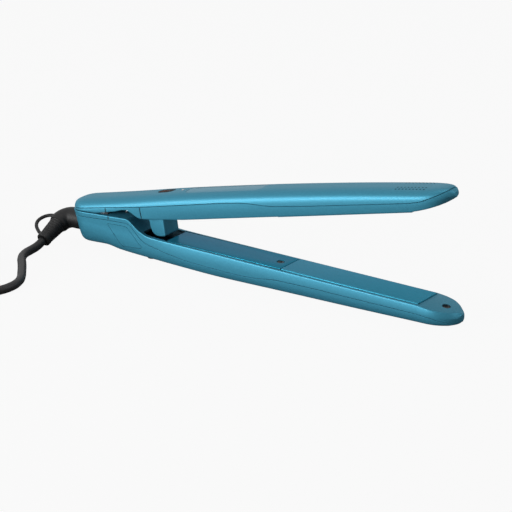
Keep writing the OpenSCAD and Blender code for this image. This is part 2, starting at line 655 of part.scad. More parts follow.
module swivel_elbow() {
    color(black) turned() difference() {
        union() {
            elbow_outside();
            rod_x(spindle_d, elbow_in, spindle_end);
        }
        difference() {
            rod_x(spindle_d + 2, groove_x[0], groove_x[1]);
            rod_x(spindle_d - 2, 0, 40);
        }
        rod_x(spindle_d - 2.4, spindle_end - 1, 40);
    }
}
// Tapered sleeve with grip ribs and a collar at its end
module relief_outside() {
    r0 = elbow_d / 2 - 1.3;
    r1 = relief_d / 2 - 0.5;
    collar = 3.4;
    ribs = 7;
    step = (relief_l - collar - 1) / ribs;
    translate([down_x, 0, -relief_top]) mirror([0, 0, 1]) rotate_extrude() polygon(concat(
        [[0, 0], [r0, 0]],
        [for (i = [0 : ribs - 1]) let (a = 1 + i * step, r = r0 + (r1 - r0) * a / relief_l)
            each [[r, a], [r - 0.5, a + step * 0.3], [r - 0.5, a + step * 0.6], [r, a + step * 0.9]]],
        [[relief_d / 2, relief_l - collar], [relief_d / 2, relief_l - 0.8],
         [relief_d / 2 - 0.8, relief_l], [0, relief_l]]));
}
module strain_relief() {
    color(black) turned() relief_outside();
}
// Loop for hanging the tool up, on the outer side of the elbow. Points are [away, down].
loop_points = [[-6, 3.4], [-10.5, 2.9], [-14.5, 3.8], [-17.8, 6.4], [-19.6, 10.2], [-19.2, 14.2],
    [-16.6, 18.2], [-12.6, 21.6], [-9.2, 23.9], [-3.5, 26]];
module hang_loop() {
    color(black) turned() difference() {
        swept([for (q = loop_points) [down_x + q[0], 0, -q[1]]], loop_d / 2, 10);
        elbow_outside();
        translate([down_x, 0, -relief_reach]) cylinder(r = relief_d / 2, h = relief_l + 0.01);
    }
}

// ---- upper arm ----
button_x = hinge_x + 59.5;
light_x = button_x + 16;
board_x = [button_x - 12, -32];
board_half = 9.5;
board_z = [13, 13 + board_t];
module upper_shell() {
    color(teal) moulded() opened() difference() {
        union() {
            shell(upper_arm, [for (q = upper_part) q + [0, seam]], no_belly);
            inner_bosses(upper_crown);
            for (x = [board_x[0] + 3, board_x[1] - 3]) both_sides() translate([x, 7.5, board_z[1]])
                cylinder(r = 1.8, h = through(upper_crown, x) - 1.5 - board_z[1]);
        }
        translate([button_x, 0, 14]) stadium(button_l + 2 * button_clear, button_w + 2 * button_clear, 20);
        translate([light_x, 0, 14]) cylinder(d = light_d + 0.1, h = 20);
    }
}
module upper_housing() {
    color(teal) moulded() opened() difference() {
        union() {
            housing(upper_arm, upper_part, upper_rim, beside(upper_rim, skin),
                [for (x = steps(upper_arm)) if (x > tail_x + 4) x], hinge_x - 10, hollow[1]);
            nose_pad();
            translate([spring_x, 0, upper_mouth + 0.6]) cylinder(d = cup_d + 3.2, h = seat_depth + 0.6);
        }
        housing_openings(deck_l);
        hinge_window([8, 13.2]);
        side_slits([9.6, 13.4], hinge_x + 7.5);
        side_slits([3.4, 12.8], hinge_x + 42);
        translate([spring_x, 0, upper_mouth - 5]) cylinder(d = cup_d + 0.8, h = seat_depth + 5);
    }
}
module upper_deck() {
    color(teal_dark) opened() deck(deck_l);
}
module upper_plate() {
    color(plate_teal) opened() plate();
}
module upper_carrier() {
    color("#2A2A2C") opened() carrier();
}
module upper_heater() {
    color("#E6E2D8") opened() heater();
}
module upper_clip() {
    color("#B8BCC0") opened() clip();
}
module upper_cushions() {
    color("#C8543A") opened() cushions();
}
module upper_sensor() {
    color("#D8D0B8") opened() sensor();
}
module upper_screws() {
    color("#8E9296") opened() screws();
}
// Post that keeps the arms in line: it dips into the lower arm's pocket
module guide_post() {
    color(teal) opened() side(-post_w / 2, post_w / 2) difference() {
        polygon(softened([[post_x[0], 6], [post_x[0], -post_reach, 9], [post_x[1] - 1.5, -post_reach, 1.5],
            [post_x[1], 6]]));
        polygon(concat(upper_rim, [[plate_l, 40], [tail_x, 40]]));
    }
}

module stadium(l, w, h) {
    for (s = [-1, 1]) translate([s * (l - w) / 2, 0, 0]) cylinder(d = w, h = h);
    translate([-(l - w) / 2, -w / 2, 0]) cube([l - w, w, h]);
}
module control_board() {
    color("#2E6B3E") opened() box(board_x, [-board_half, board_half], board_z);
}
module board_switch() {
    color("#B8BCC0") opened() translate([button_x, 0, board_z[1]]) {
        box([-3, 3], [-3, 3], [0, 1]);
        cylinder(d = 3.4, h = 1.4);
    }
}
// Cap that follows the crown, a flange under the shell and a stem above the switch
module power_button() {
    flange = through(upper_crown, button_x) - wall - 1.2;
    stem = board_z[1] + 1.4 + button_travel + 0.1;
    color("#3A2018") opened() {
        intersection() {
            translate([button_x, 0, flange]) stadium(button_l, button_w, 8);
            form(upper_arm, -0.2, button_x - 20, button_x + 21);
        }
        translate([button_x, 0, flange]) stadium(button_l + 1.6, button_w + 1.6, 0.9);
        translate([button_x, 0, stem]) cylinder(d = 3, h = flange - stem + 0.2);
    }
}
module light_pipe() {
    color("#E8E4DC") opened() translate([light_x, 0, board_z[1]]) {
        cylinder(d = light_d, h = through(upper_crown, light_x) - board_z[1] + 0.05);
        cylinder(d = light_d + 1.4, h = through(upper_crown, light_x) - wall - board_z[1] - 0.1);
    }
}

// ---- cord ----
// Where it leaves the strain relief
relief_end = [world(tail_x, -swivel_drop)[0] + down_x, -relief_reach * sin(swivel_turn)];
// Route chosen by hand: [x, y] from the strain relief's end, and the height of its middle
cord_route = [[0, -0.15, 6.9], [0, -4, 5.35], [0, -9, 4.1], [0, -15, 3.6], [1.5, -24, 3.6],
    [6, -32.5, 3.6], [13, -40.5, 3.6], [20, -48.5, 3.6], [27, -57, 3.6], [33, -64.5, 3.6],
    [38, -73.5, 3.6], [40, -83.5, 3.6], [38, -94.5, 3.6], [31.5, -104.5, 3.6], [21.5, -111, 3.6],
    [10, -113.3, 3.6], [2, -113.3, 3.6], [-8, -113.3, 3.6]];
module cord() {
    color(black) swept([for (q = cord_route) [relief_end[0] + q[0], relief_end[1] + q[1], q[2]]],
        cord_d / 2, 8);
}
// The rest of the cord, folded into a hank and tied at its waist
hank_run = 50;      // half the length of a run
fold_r = 20.5;      // radius of the innermost fold
hank_h = 26.4;
hank_off = [78, 86.1];
hank_at = [relief_end[0] - hank_off[0], relief_end[1] - hank_off[1]];
plug_off = 29;
plug_at = [hank_at[0] + plug_off, hank_at[1] - fold_r - 1.5 * cord_d - 3.8];
// The runs are straight under the tie and spread from there; a point every 8 mm
hank_step = 8;
spread = hank_run - hank_step;
function waist(x, y) = y - (y - 2 * cord_d)
    * (1 + cos(180 * max(0, abs(x) - hank_step) / spread)) / 2;
module cord_hank() {
    r = fold_r + 1.5 * cord_d;
    half = concat([for (a = [90 : -15 : -90]) [hank_run + r * cos(a), r * sin(a)]],
        [for (x = [5 * hank_step : -hank_step : -5 * hank_step]) [x, -waist(x, r)]]);
    color(black) translate([hank_at[0], hank_at[1], 0.2]) {
        linear_extrude(hank_h) polygon(concat(half, [for (q = half) -q]));
        // The cord comes in along one side of a fold. Its other end drops off the top and runs to the plug.
        translate([0, -27.2, 3.4]) rod_x(cord_d, hank_run, 70);
        swept([[68, 18, 20], [80, 9, 21.3], [84.5, 0, 20.8], [82.5, -12, 17.3], [75, -24, 12.3],
            [63, -32, 8.8], [50, plug_at[1] - hank_at[1], plug_h / 2 - 0.2],
            [plug_at[0] - hank_at[0], plug_at[1] - hank_at[1], plug_h / 2 - 0.2]], cord_d / 2, 8);
    }
}
module cord_tie() {
    y = 2 * cord_d;
    color(black) translate([hank_at[0], hank_at[1], 0]) difference() {
        box([-7, 7], [-y - 1.2, y + 1.2], [0, hank_h + 1.4]);
        box([-8, 8], [-y, y], [0.2, hank_h + 0.2]);
    }
}
// Two-pin plug: a flat body, waisted in plan and in side view
plug_l = 42;
plug_h = 15;
module plug_body() {
    half = [[0, 5.5, 1], [-8, 6], [-20, plug_w / 2 - 0.5, 5], [-plug_l, plug_w / 2, 3]];
    tall = [[0, plug_h - 2, 1.5], [-20, plug_h, 5], [-plug_l, plug_h - 1, 2]];
    color(black) translate([plug_at[0], plug_at[1], 0]) intersection() {
        linear_extrude(plug_h) polygon(softened(concat(half, [for (q = reversed(half)) [q[0], -q[1], len(q) > 2 ? q[2] : 0]])));
        side(-plug_w, plug_w) polygon(softened(concat(tall, [[-plug_l, 0, 1.5], [0, 1.5, 1]])));
    }
}
module plug_blades() {
    color("#C8CCD0") translate([plug_at[0] - plug_l, plug_at[1], plug_h / 2])
        for (y = [-6.35, 6.35]) box([-17, 0], [y - 0.75, y + 0.75], [-3.2, 3.2]);
}

lower_shell();
lower_housing();
lower_deck();
lower_plate();
lower_carrier();
lower_heater();
lower_clip();
lower_cushions();
lower_sensor();
lower_screws();
side_panels();
rest_foot();
hinge_lugs();
hinge_pin();
opening_spring();
swivel_socket();
contact_blades();
upper_shell();
upper_housing();
upper_deck();
upper_plate();
upper_carrier();
upper_heater();
upper_clip();
upper_cushions();
upper_sensor();
upper_screws();
hinge_knuckle();
guide_post();
control_board();
board_switch();
power_button();
light_pipe();
swivel_elbow();
contact_rings();
retainer();
strain_relief();
hang_loop();
cord();
cord_hank();
cord_tie();
plug_body();
plug_blades();
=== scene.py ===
from math import asin, atan, atan2, copysign, cos, dist, pi, radians, sin, sqrt, tan

import bmesh
import bpy
from mathutils import Matrix, Vector


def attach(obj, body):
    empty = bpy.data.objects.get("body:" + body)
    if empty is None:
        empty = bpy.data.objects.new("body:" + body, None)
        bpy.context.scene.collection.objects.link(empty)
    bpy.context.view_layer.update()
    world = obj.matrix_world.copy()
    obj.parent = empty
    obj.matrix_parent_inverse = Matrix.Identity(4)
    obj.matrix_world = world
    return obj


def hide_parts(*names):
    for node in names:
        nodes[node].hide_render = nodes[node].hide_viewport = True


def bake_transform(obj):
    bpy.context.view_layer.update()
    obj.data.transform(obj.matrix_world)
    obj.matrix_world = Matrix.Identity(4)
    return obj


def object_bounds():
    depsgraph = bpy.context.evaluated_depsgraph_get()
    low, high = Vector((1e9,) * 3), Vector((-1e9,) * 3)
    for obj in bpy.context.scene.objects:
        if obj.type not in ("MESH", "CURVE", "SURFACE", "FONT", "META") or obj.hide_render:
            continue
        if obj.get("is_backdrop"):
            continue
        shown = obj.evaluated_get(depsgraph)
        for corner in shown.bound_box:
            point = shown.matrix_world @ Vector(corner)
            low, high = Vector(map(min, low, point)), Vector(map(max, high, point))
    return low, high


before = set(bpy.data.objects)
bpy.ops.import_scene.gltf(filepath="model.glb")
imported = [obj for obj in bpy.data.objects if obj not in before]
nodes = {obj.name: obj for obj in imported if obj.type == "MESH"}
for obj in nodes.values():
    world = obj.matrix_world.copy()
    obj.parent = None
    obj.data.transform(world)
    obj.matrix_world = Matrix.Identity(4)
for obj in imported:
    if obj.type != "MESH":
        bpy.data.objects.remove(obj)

cad_box = [list(corner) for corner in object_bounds()]

# ---- Table top, light and camera ----
# The tool lies open on a pale table under large soft lamps, seen from its tip's side and a little
# from above. The table and the surroundings show as white and keep the tool's faint shadow.


def paint(text):
    """Linear colour from a hex colour as it is seen."""
    part = [int(text[i:i + 2], 16) / 255 for i in (1, 3, 5)]
    return tuple(c / 12.92 if c <= 0.04045 else ((c + 0.055) / 1.055) ** 2.4 for c in part) + (1.0,)


def finish_of(name, colour, **sockets):
    """A material with a Principled shader set up by its own sockets."""
    made = bpy.data.materials.new(name)
    made.use_nodes = True
    shader = made.node_tree.nodes["Principled BSDF"]
    shader.inputs["Base Color"].default_value = paint(colour)
    for socket, value in sockets.items():
        shader.inputs[socket.replace("_", " ")].default_value = value
    return made


def add(tree, kind, inputs=None, **settings):
    """Adds a node with its settings, values and links; a node as a value means its first output."""
    made = tree.nodes.new(kind)
    for key, value in settings.items():
        setattr(made, key, value)
    for key, value in (inputs or {}).items():
        for one in value if isinstance(value, list) else [value]:
            if isinstance(one, bpy.types.Node):
                one = one.outputs[0]
            if isinstance(one, bpy.types.NodeSocket):
                tree.links.new(one, made.inputs[key])
            else:
                made.inputs[key].default_value = one
    return made


table_top = finish_of("pale_table", "#A8A8A8", Roughness=0.8, Specular_IOR_Level=0.2)
tree = table_top.node_tree
seen = add(tree, "ShaderNodeLightPath").outputs["Is Camera Ray"]
share = add(tree, "ShaderNodeMath", {0: seen, 1: 0.95}, operation="MULTIPLY")
shine = add(tree, "ShaderNodeEmission", {"Color": paint("#FDFDFD")})
blend = add(tree, "ShaderNodeMixShader", {0: share, 1: tree.nodes["Principled BSDF"], 2: shine})
tree.links.new(blend.outputs[0], tree.nodes["Material Output"].inputs["Surface"])
bpy.ops.mesh.primitive_plane_add(size=6, location=(0, 0, -0.0002))
table = bpy.context.object
table.name = "table_top"
table.data.materials.append(table_top)
table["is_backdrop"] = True

world = bpy.data.worlds.new("studio")
bpy.context.scene.world = world
world.use_nodes = True
air = world.node_tree
rays = add(air, "ShaderNodeLightPath").outputs
seen = add(air, "ShaderNodeMath", {
    0: rays["Is Camera Ray"], 1: rays["Is Glossy Ray"]}, operation="MAXIMUM")
seen = add(air, "ShaderNodeMath", {0: seen, 1: rays["Is Transmission Ray"]}, operation="MAXIMUM")
level = add(air, "ShaderNodeMapRange", {"Value": seen, "To Min": 0.16, "To Max": 1.0})
air.links.new(level.outputs[0], air.nodes["Background"].inputs["Strength"])
air.nodes["Background"].inputs["Color"].default_value = (1, 1, 1, 1)


def in_scene(name, data):
    made = bpy.data.objects.new(name, data)
    bpy.context.collection.objects.link(made)
    return made


def lamp(name, place, aim, wide, tall, power):
    data = bpy.data.lights.new(name, "AREA")
    data.shape = "RECTANGLE"
    data.size, data.size_y, data.energy = wide, tall, power
    made = in_scene(name, data)
    made.location = place
    made.rotation_euler = (Vector(aim) - Vector(place)).to_track_quat("-Z", "Y").to_euler()


lamp("front_softbox", (-0.7, -1.2, 0.3), (-0.05, 0, 0.03), 1.2, 0.5, 24)
lamp("high_softbox", (0, 0.2, 1.4), (0, 0, 0.03), 0.7, 0.7, 3.5)
lamp("rear_softbox", (1.0, 0.7, 0.8), (0, 0, 0.03), 0.6, 0.6, 4)

camera = in_scene("camera", bpy.data.cameras.new("camera"))
bpy.context.scene.camera = camera
camera.data.sensor_width, camera.data.lens = 36, 193.35
camera.data.clip_start, camera.data.clip_end = 0.05, 20
camera.location = (1.08849, -1.54432, 0.71864)
camera.rotation_euler = (radians(70.06), radians(1.87), radians(36.109))
bpy.context.scene.view_settings.view_transform = "Standard"

# ---- Cord ----
# A round mains lead in a black rubbery sheath. It leaves the strain relief, drops to the table and
# runs to where the rest is folded into a flat hank, six turns in two columns and a part of a
# seventh on top, and then to its plug.
MM = 0.001
relief_end = Vector((-250.57, -29.11, 6.96))  # middle of the strain relief's end
cord_d = 6.8
lying = 3.6  # height of the cord's middle on the table
drop = [(0, -0.15, 6.9), (0, -4, 5.35), (0, -9, 4.1)]
route = [
    (0, -15), (1.5, -24), (6, -32.5), (13, -40.5), (20, -48.5), (27, -57), (33, -64.5), (38, -73.5),
    (40, -83.5), (38, -94.5), (31.5, -104.5), (21.5, -111), (10, -113.3), (2, -113.3), (-8, -113.3)]
hank_at = Vector((relief_end.x - 78, relief_end.y - 86.1, 0))
run = 50  # half the length of a run
tied = 8  # half the length that lies straight in the tie
slots = [(27.3, 10.2, 3.6), (20.5, 3.4, 3.6), (20.5, 3.4, 10.4), (27.3, 10.2, 10.4),
         (27.3, 10.2, 17.2), (20.5, 3.4, 17.2),
         (23.9, 6.8, 23.2)]  # fold radius, distance at the waist, height
shift_at = [0.955, 0.85, 0.74, 0.55, 0.43, 0.30]  # where in a turn each slot gives way to the next
shift_l = 0.09  # share of a turn that the change takes
straight, folded = 0.28, 0.22  # shares of a turn for one run and one fold


def ease(t):
    t = min(1, max(0, t))
    return t * t * (3 - 2 * t)


def in_turn(turn, u):
    """Point of the hank's path, u from 0 to 1 round one turn."""
    here = slots[turn]
    if turn < 6:
        t = ease((u - shift_at[turn]) / shift_l + 0.5)
        here = [a + (b - a) * t for a, b in zip(here, slots[turn + 1])]
    radius, waist, z = here
    first = u < 0.5
    v = u if first else u - 0.5
    if v < straight:
        x = (run - 2 * run * v / straight) * (1 if first else -1)
        pinch = (1 + cos(pi * max(0, abs(x) - tied) / (run - tied))) / 2
        y = radius - (radius - waist) * pinch
        return Vector((x, -y if first else y, z))
    turned = pi * (v - straight) / folded
    x, y = run + radius * sin(turned), radius * cos(turned)
    return Vector((-x, -y, z) if first else (x, y, z))


steps = 40
path = [Vector((relief_end.x + x, relief_end.y + y, z))
        for x, y, z in drop + [(x, y, lying) for x, y in route]]
path.append(hank_at + Vector((60, -27.2, lying)))
for turn in range(6):
    # a turn's first point is the last one's end, so it lies a hair further on
    path += [hank_at + in_turn(turn, i / steps if i or not turn else 0.001) for i in range(steps)]
path += [hank_at + in_turn(6, 0.001 + i / steps) for i in range(31)]
fold, lane = slots[6][0], 34.5  # the plug's end of the cord lies outside the hank
top_z, plug_z = slots[6][2], 7.5
for i in range(1, 9):  # off the top, out past the fold and down to the table
    v = i / 8
    angle = pi * (0.5 - v)
    radius = fold + (lane - fold) * ease(v / 0.5)
    z = top_z + 1.2 * sin(pi * min(1, v / 0.45)) - (top_z - plug_z) * ease((v - 0.35) / 0.65)
    path.append(hank_at + Vector((run + radius * cos(angle), radius * sin(angle), z)))
path += [hank_at + Vector((x, -lane, plug_z)) for x in (43, 36, 29)]


def line_curve(name, points, radius, resolution=3):
    """Round rod along points, as a curve."""
    data = bpy.data.curves.new(name, "CURVE")
    data.dimensions = "3D"
    data.bevel_depth = radius * MM
    data.bevel_resolution, data.resolution_u = 4, resolution
    data.use_fill_caps = True
    line = data.splines.new("BEZIER")
    line.bezier_points.add(len(points) - 1)
    for knot, p in zip(line.bezier_points, points):
        knot.co = Vector(p) * MM
        knot.handle_left_type = knot.handle_right_type = "AUTO"
    return in_scene(name, data)


def coloured(tree, value, places, colours):
    """Base colour that runs between two colours as the value goes between two places."""
    ramp = add(tree, "ShaderNodeValToRGB", {"Fac": value})
    for stop, at, colour in zip(ramp.color_ramp.elements, places, colours):
        stop.position, stop.color = at, paint(colour)
    tree.links.new(ramp.outputs["Color"], tree.nodes["Principled BSDF"].inputs["Base Color"])


def grain(material, scale, height, colours=None, stretch=(1, 1, 1)):
    """Fine relief, and if asked a slight change of colour, from noise over the object."""
    tree = material.node_tree
    where = add(tree, "ShaderNodeTexCoord").outputs["Object"]
    turned = add(tree, "ShaderNodeMapping", {"Vector": where, "Scale": stretch})
    noise = add(tree, "ShaderNodeTexNoise", {"Vector": turned, "Scale": scale, "Detail": 3})
    bump = add(tree, "ShaderNodeBump", {
        "Height": noise.outputs["Fac"], "Distance": height * MM, "Strength": 1})
    tree.links.new(bump.outputs[0], tree.nodes["Principled BSDF"].inputs["Normal"])
    if colours:
        coloured(tree, noise.outputs["Fac"], (0.3, 0.7), colours)
    return material


# black flexible sheath, satin, faintly mottled
sheath = finish_of("cord_sheath", "#0E0E10", Roughness=0.5, Specular_IOR_Level=0.3)
grain(sheath, 2200, 0.03, ("#0C0C0E", "#121214"))
cord = line_curve("power_cord", path, cord_d / 2)
cord.data.materials.append(sheath)
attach(cord, "lower_arm")
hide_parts("cord", "cord_hank")

# ---- Plug ----
# Two-pin plug moulded on to the cord's end: a flat body with a pinched waist, five upright ribs
# down each flank for the fingers, and two flat nickel-plated blades.
plug_at = Vector((hank_at.x + 29, hank_at.y - lane, 0))


def tidy(made, sharp=32):
    """Merges doubles, turns faces outwards and shades smooth up to the sharp angle."""
    work = bmesh.new()
    work.from_mesh(made.data)
    bmesh.ops.remove_doubles(work, verts=work.verts, dist=0.000002)
    bmesh.ops.recalc_face_normals(work, faces=work.faces)
    work.to_mesh(made.data)
    work.free()
    made.data.polygons.foreach_set("use_smooth", [True] * len(made.data.polygons))
    made.data.set_sharp_from_angle(angle=radians(sharp))


def mesh_piece(name, points, faces, materials, marks=None):
    """Mesh from points in mm; marks give each face its material."""
    data = bpy.data.meshes.new(name)
    data.from_pydata([Vector(p) * MM for p in points], [], faces)
    for m in materials:
        data.materials.append(m)
    if marks:
        data.polygons.foreach_set("material_index", marks)
    made = in_scene(name, data)
    tidy(made)
    return made


def loft(rings):
    """Points and faces of a closed solid through rings of the same number of points."""
    n = len(rings[0])
    points = [p for ring in rings for p in ring]
    faces = [list(range(n))[::-1], [(len(rings) - 1) * n + k for k in range(n)]]
    for i in range(len(rings) - 1):
        for k in range(n):
            a, b = i * n + k, i * n + (k + 1) % n
            faces.append([a, b, b + n, a + n])
    return points, faces


def pillow(half_y, half_z, power, n=40):
    """Rounded box outline."""
    def bulge(v):
        return copysign(abs(v) ** (2 / power), v)
    turn = [2 * pi * (i + 0.5) / n for i in range(n)]
    return [(half_y * bulge(cos(a)), half_z * bulge(sin(a))) for a in turn]


# place along the plug, half width and half height
plug_shape = [
    (0, 4.6, 4.6), (-0.8, 5.4, 5.4), (-3, 5.6, 5.5), (-8, 6, 5.8), (-12, 7.6, 6.2),
    (-16, 10.4, 6.9), (-20, 11.9, 7.3), (-23, 12.1, 7.4), (-27, 11.6, 7.2), (-31, 11.7, 7.1),
    (-35, 12.4, 7.2), (-39, 12.9, 7.3), (-41, 12.7, 7.1), (-41.7, 12.2, 6.7), (-42, 11.4, 6.1)]
rings = []
for x, wide, tall in plug_shape:
    power = 2 + 2.2 * ease((-x - 4) / 14)  # round at the cord, boxy at the blades
    rings.append([(plug_at.x + x, plug_at.y + y, plug_z + z) for y, z in pillow(wide, tall, power)])
# black moulded rubber
plug_rubber = finish_of("plug_rubber", "#151517", Roughness=0.5)
grain(plug_rubber, 1500, 0.05, ("#131315", "#19191B"))
plug = mesh_piece("plug_body_moulded", *loft(rings), [plug_rubber])
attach(plug, "lower_arm")
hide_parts("plug_body")


def pattern(name, **sizes):
    """Geometry tree with named sizes; gives the tree and its sizes as sockets."""
    tree = bpy.data.node_groups.new(name, "GeometryNodeTree")
    kinds = {int: "NodeSocketInt", float: "NodeSocketFloat", tuple: "NodeSocketVector",
             bpy.types.Object: "NodeSocketObject"}
    for label, value in sizes.items():
        tree.interface.new_socket(label, in_out="INPUT", socket_type=kinds[type(value)])
    tree.interface.new_socket("Geometry", in_out="OUTPUT", socket_type="NodeSocketGeometry")
    return tree, tree.nodes.new("NodeGroupInput").outputs


def as_mesh(piece):
    """Puts a piece's modifiers into its mesh."""
    graph = bpy.context.evaluated_depsgraph_get()
    piece.data = bpy.data.meshes.new_from_object(piece.evaluated_get(graph))
    piece.modifiers.clear()


def grown(name, tree, result, material, sizes, matrix=None, sharp=32):
    """Ends the tree in real geometry with its material and makes that a plain mesh."""
    real = add(tree, "GeometryNodeRealizeInstances", {"Geometry": result})
    coated = add(tree, "GeometryNodeSetMaterial", {"Geometry": real, "Material": material})
    add(tree, "NodeGroupOutput", {0: coated})
    made = in_scene(name, bpy.data.meshes.new(name))
    step = made.modifiers.new(name, "NODES")
    step.node_group = tree
    for socket in tree.interface.items_tree:
        if socket.in_out == "INPUT":
            step[socket.identifier] = sizes[socket.name]
    as_mesh(made)
    if matrix:
        for v in made.data.vertices:
            v.co = (matrix @ (v.co / MM)) * MM
    tidy(made, sharp)
    return made


sizes = {"Ribs": 5, "Pitch": 2.6 * MM, "Apart": 22.4 * MM, "Rib": 0.8 * MM, "Height": 8 * MM}
tree, size = pattern("finger_grip", **sizes)
length = add(tree, "ShaderNodeMath", {0: size["Pitch"], 1: 4.0}, operation="MULTIPLY")
grid = add(tree, "GeometryNodeMeshGrid", {
    "Size X": length, "Size Y": size["Apart"], "Vertices X": size["Ribs"], "Vertices Y": 2})
rod = add(tree, "GeometryNodeMeshCylinder", {
    "Vertices": 16, "Radius": size["Rib"], "Depth": size["Height"]})
ribs = add(tree, "GeometryNodeInstanceOnPoints", {"Points": grid, "Instance": rod})
grip = grown("plug_finger_grip", tree, ribs, plug_rubber, sizes,
             Matrix.Translation(plug_at + Vector((-29, 0, plug_z))))
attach(grip, "lower_arm")


def coated_with(material, *names):
    """Gives CAD pieces their material."""
    for name in names:
        nodes[name].data.materials.clear()
        nodes[name].data.materials.append(material)


# nickel plate on brass, drawn along the blade
nickel = finish_of("nickel_plate", "#C9C7C2", Metallic=1.0, Roughness=0.22)
coated_with(grain(nickel, 900, 0.01, stretch=(0.15, 1, 1)), "plug_blades")

# ---- Cord tie ----
# A woven hook and loop strap pulled round the hank's waist.
hank_top, hank_foot, tie_half, tie_w, tie_t, corner = 26.6, 0.15, 13.6, 14, 1.1, 3
side, top, foot = tie_half - corner, hank_top - corner, hank_foot + corner
outline = [(cy, cz, radians(first + a)) for cy, cz, first in (
    (side, top, 0), (-side, top, 90), (-side, foot, 180), (side, foot, 270))
    for a in range(0, 91, 15)]
rings = []
for cy, cz, a in outline:
    inner = (cy + corner * cos(a), cz + corner * sin(a))
    outer = (cy + (corner + tie_t) * cos(a), max(0.02, cz + (corner + tie_t) * sin(a)))
    rings.append([(hank_at.x + x, hank_at.y + y, z) for x, (y, z) in (
        (-tie_w / 2, inner), (tie_w / 2, inner), (tie_w / 2, outer), (-tie_w / 2, outer))])
points, faces = loft(rings)
last = (len(rings) - 1) * 4
faces = faces[2:] + [[last + k, last + (k + 1) % 4, (k + 1) % 4, k] for k in range(4)]
# black polyester weave, dull and a little furry
loops = finish_of("strap_weave", "#202022", Roughness=0.95, Sheen_Weight=0.3)
grain(loops, 900, 0.25, ("#17171A", "#2A2A2D"))
tie = mesh_piece("cord_tie_strap", points, faces, [loops])
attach(tie, "lower_arm")
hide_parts("cord_tie")

# ---- Outer shells ----
# Two long moulded channels, one over each arm's crown, lacquered in pearl teal over dark nylon.
# Their section is a soft crown that turns into the cheeks, and their edges are just broken.
plate_l, rim, wall, skin, seam = 120, 1, 1.8, 1.8, 0.25
hinge_x, tail_x, tip_x, half_w = -170, -201, 149.5, 15.4
hinge_h, open_angle, tail_gap = 8.5, 13.3, 0.8
rest_x, rest_depth = 35, 18.65  # where the closed arms' frame meets the table
pitch = atan(5.3 / 190)  # slope of the lower arm as it lies
tail_turn, nose_turn = 16, 24.5  # lengths over which the ends round off in plan
tail_curve, shoulder = 2.4, 0.42  # squareness of the tail, share of the depth below the widest
solid_tail, solid_nose = 4.6, 9  # lengths at the ends that aren't hollow
broken = 0.25  # how far the edges are set in
crown_top, past_rim = 34, -11  # above every crown, and beyond every rim
lean_x, lean_l, lean_z = hinge_x - 10, 21, -3  # where the rear end leans
tail_drop, tail_slope = 0.7, 0.075  # the lower arm's rim at the hinge
lower_crown = [
    (tail_x, 18.9), (-182, 19), (-164, 18.1), (-152, 19.8), (-122, 20.8), (-95, 21.4), (-60, 21.7),
    (0, 20.1), (60, 18.55), (112, 16.9), (tip_x - 19, 16.2), (tip_x - 8, 15), (tip_x - 3.5, 13.9),
    (tip_x - 1.2, 12.9), (tip_x, 11.5)]
upper_crown = [
    (tail_x, 19.8), (-150, 20), (-90, 20.9), (-10, 20.6), (45, 19.6), (85, 18.4), (120, 16.9),
    (tip_x - 14, 16), (tip_x - 5, 15.2), (tip_x, 13.7), (tip_x + 2.5, 11)]
nose_rim = [(119, rim), (126, 1.6), (134, 2.6), (142, 3.9), (146, 4.8), (150, 6.5), (156, 8.8)]
rim_draw = [(-125, 0.25), (-90, 0.8), (134, 0.8), (142, 2), (146, 4.3), (150, 6.8), (155, 8)]
# crown, depth at the rear end, rear corner, lean of the rear end, lead of the nose
lower_arm = (lower_crown, 8, 7, 0.42, 0)
upper_arm = (upper_crown, 13.8, 15, 0, 2.5)


def find(k, x):
    """The knot before x."""
    i = 0
    while i < len(k) - 2 and x >= k[i + 1][0]:
        i += 1
    return i


def through(k, x):
    """Smooth curve through knots."""
    i = find(k, x)

    def slope(j):
        a, b = max(0, j - 1), min(len(k) - 1, j + 1)
        return (k[b][1] - k[a][1]) / (k[b][0] - k[a][0])
    d = k[i + 1][0] - k[i][0]
    t = min(1, max(0, (x - k[i][0]) / d))
    return (k[i][1] * (1 + 2 * t) * (1 - t) ** 2 + slope(i) * d * t * (1 - t) ** 2
            + k[i + 1][1] * t ** 2 * (3 - 2 * t) + slope(i + 1) * d * t ** 2 * (t - 1))


def line_at(p, x):
    """Straight lines between knots."""
    i = find(p, x)
    t = min(1, max(0, (x - p[i][0]) / (p[i + 1][0] - p[i][0])))
    return p[i][1] + t * (p[i + 1][1] - p[i][1])


def softened(p, n=8):
    """Outline whose corners (x, z, cut) are rounded."""
    made = []
    for i, q in enumerate(p):
        here = Vector(q[:2])
        cut = q[2] if len(q) > 2 else 0
        if not cut:
            made.append(tuple(here))
            continue
        a = here + cut * (Vector(p[i - 1][:2]) - here).normalized()
        b = here + cut * (Vector(p[(i + 1) % len(p)][:2]) - here).normalized()
        made += [tuple(a * (1 - t) ** 2 + 2 * here * t * (1 - t) + b * t ** 2)
                 for t in (k / n for k in range(n + 1))]
    return made


def section(arm, x, t=0.0):
    """Half width, greatest depth, depth of the shoulder, half width at the rim and rim, at x."""
    crown, rear, corner, _, lead = arm
    behind = min(1, max(0, (tail_x + tail_turn - x) / (tail_turn - t)))
    ahead = min(1, max(0, (x - tip_x + nose_turn) / (nose_turn + lead - t)))
    w = (half_w - t) * min((1 - behind ** tail_curve) ** (1 / tail_curve), sqrt(1 - ahead ** 2))
    e = rim if x < plate_l - 1 else through(nose_rim, x)
    u = min(1, max(0, (tail_x + corner - x) / (corner - t)))
    deep = rear + (through(crown, x) - t - rear) * (1 - u ** 3) ** (1 / 3)
    return w, deep, e + (deep - e) * shoulder, max(w / 4, w - through(rim_draw, x)), e


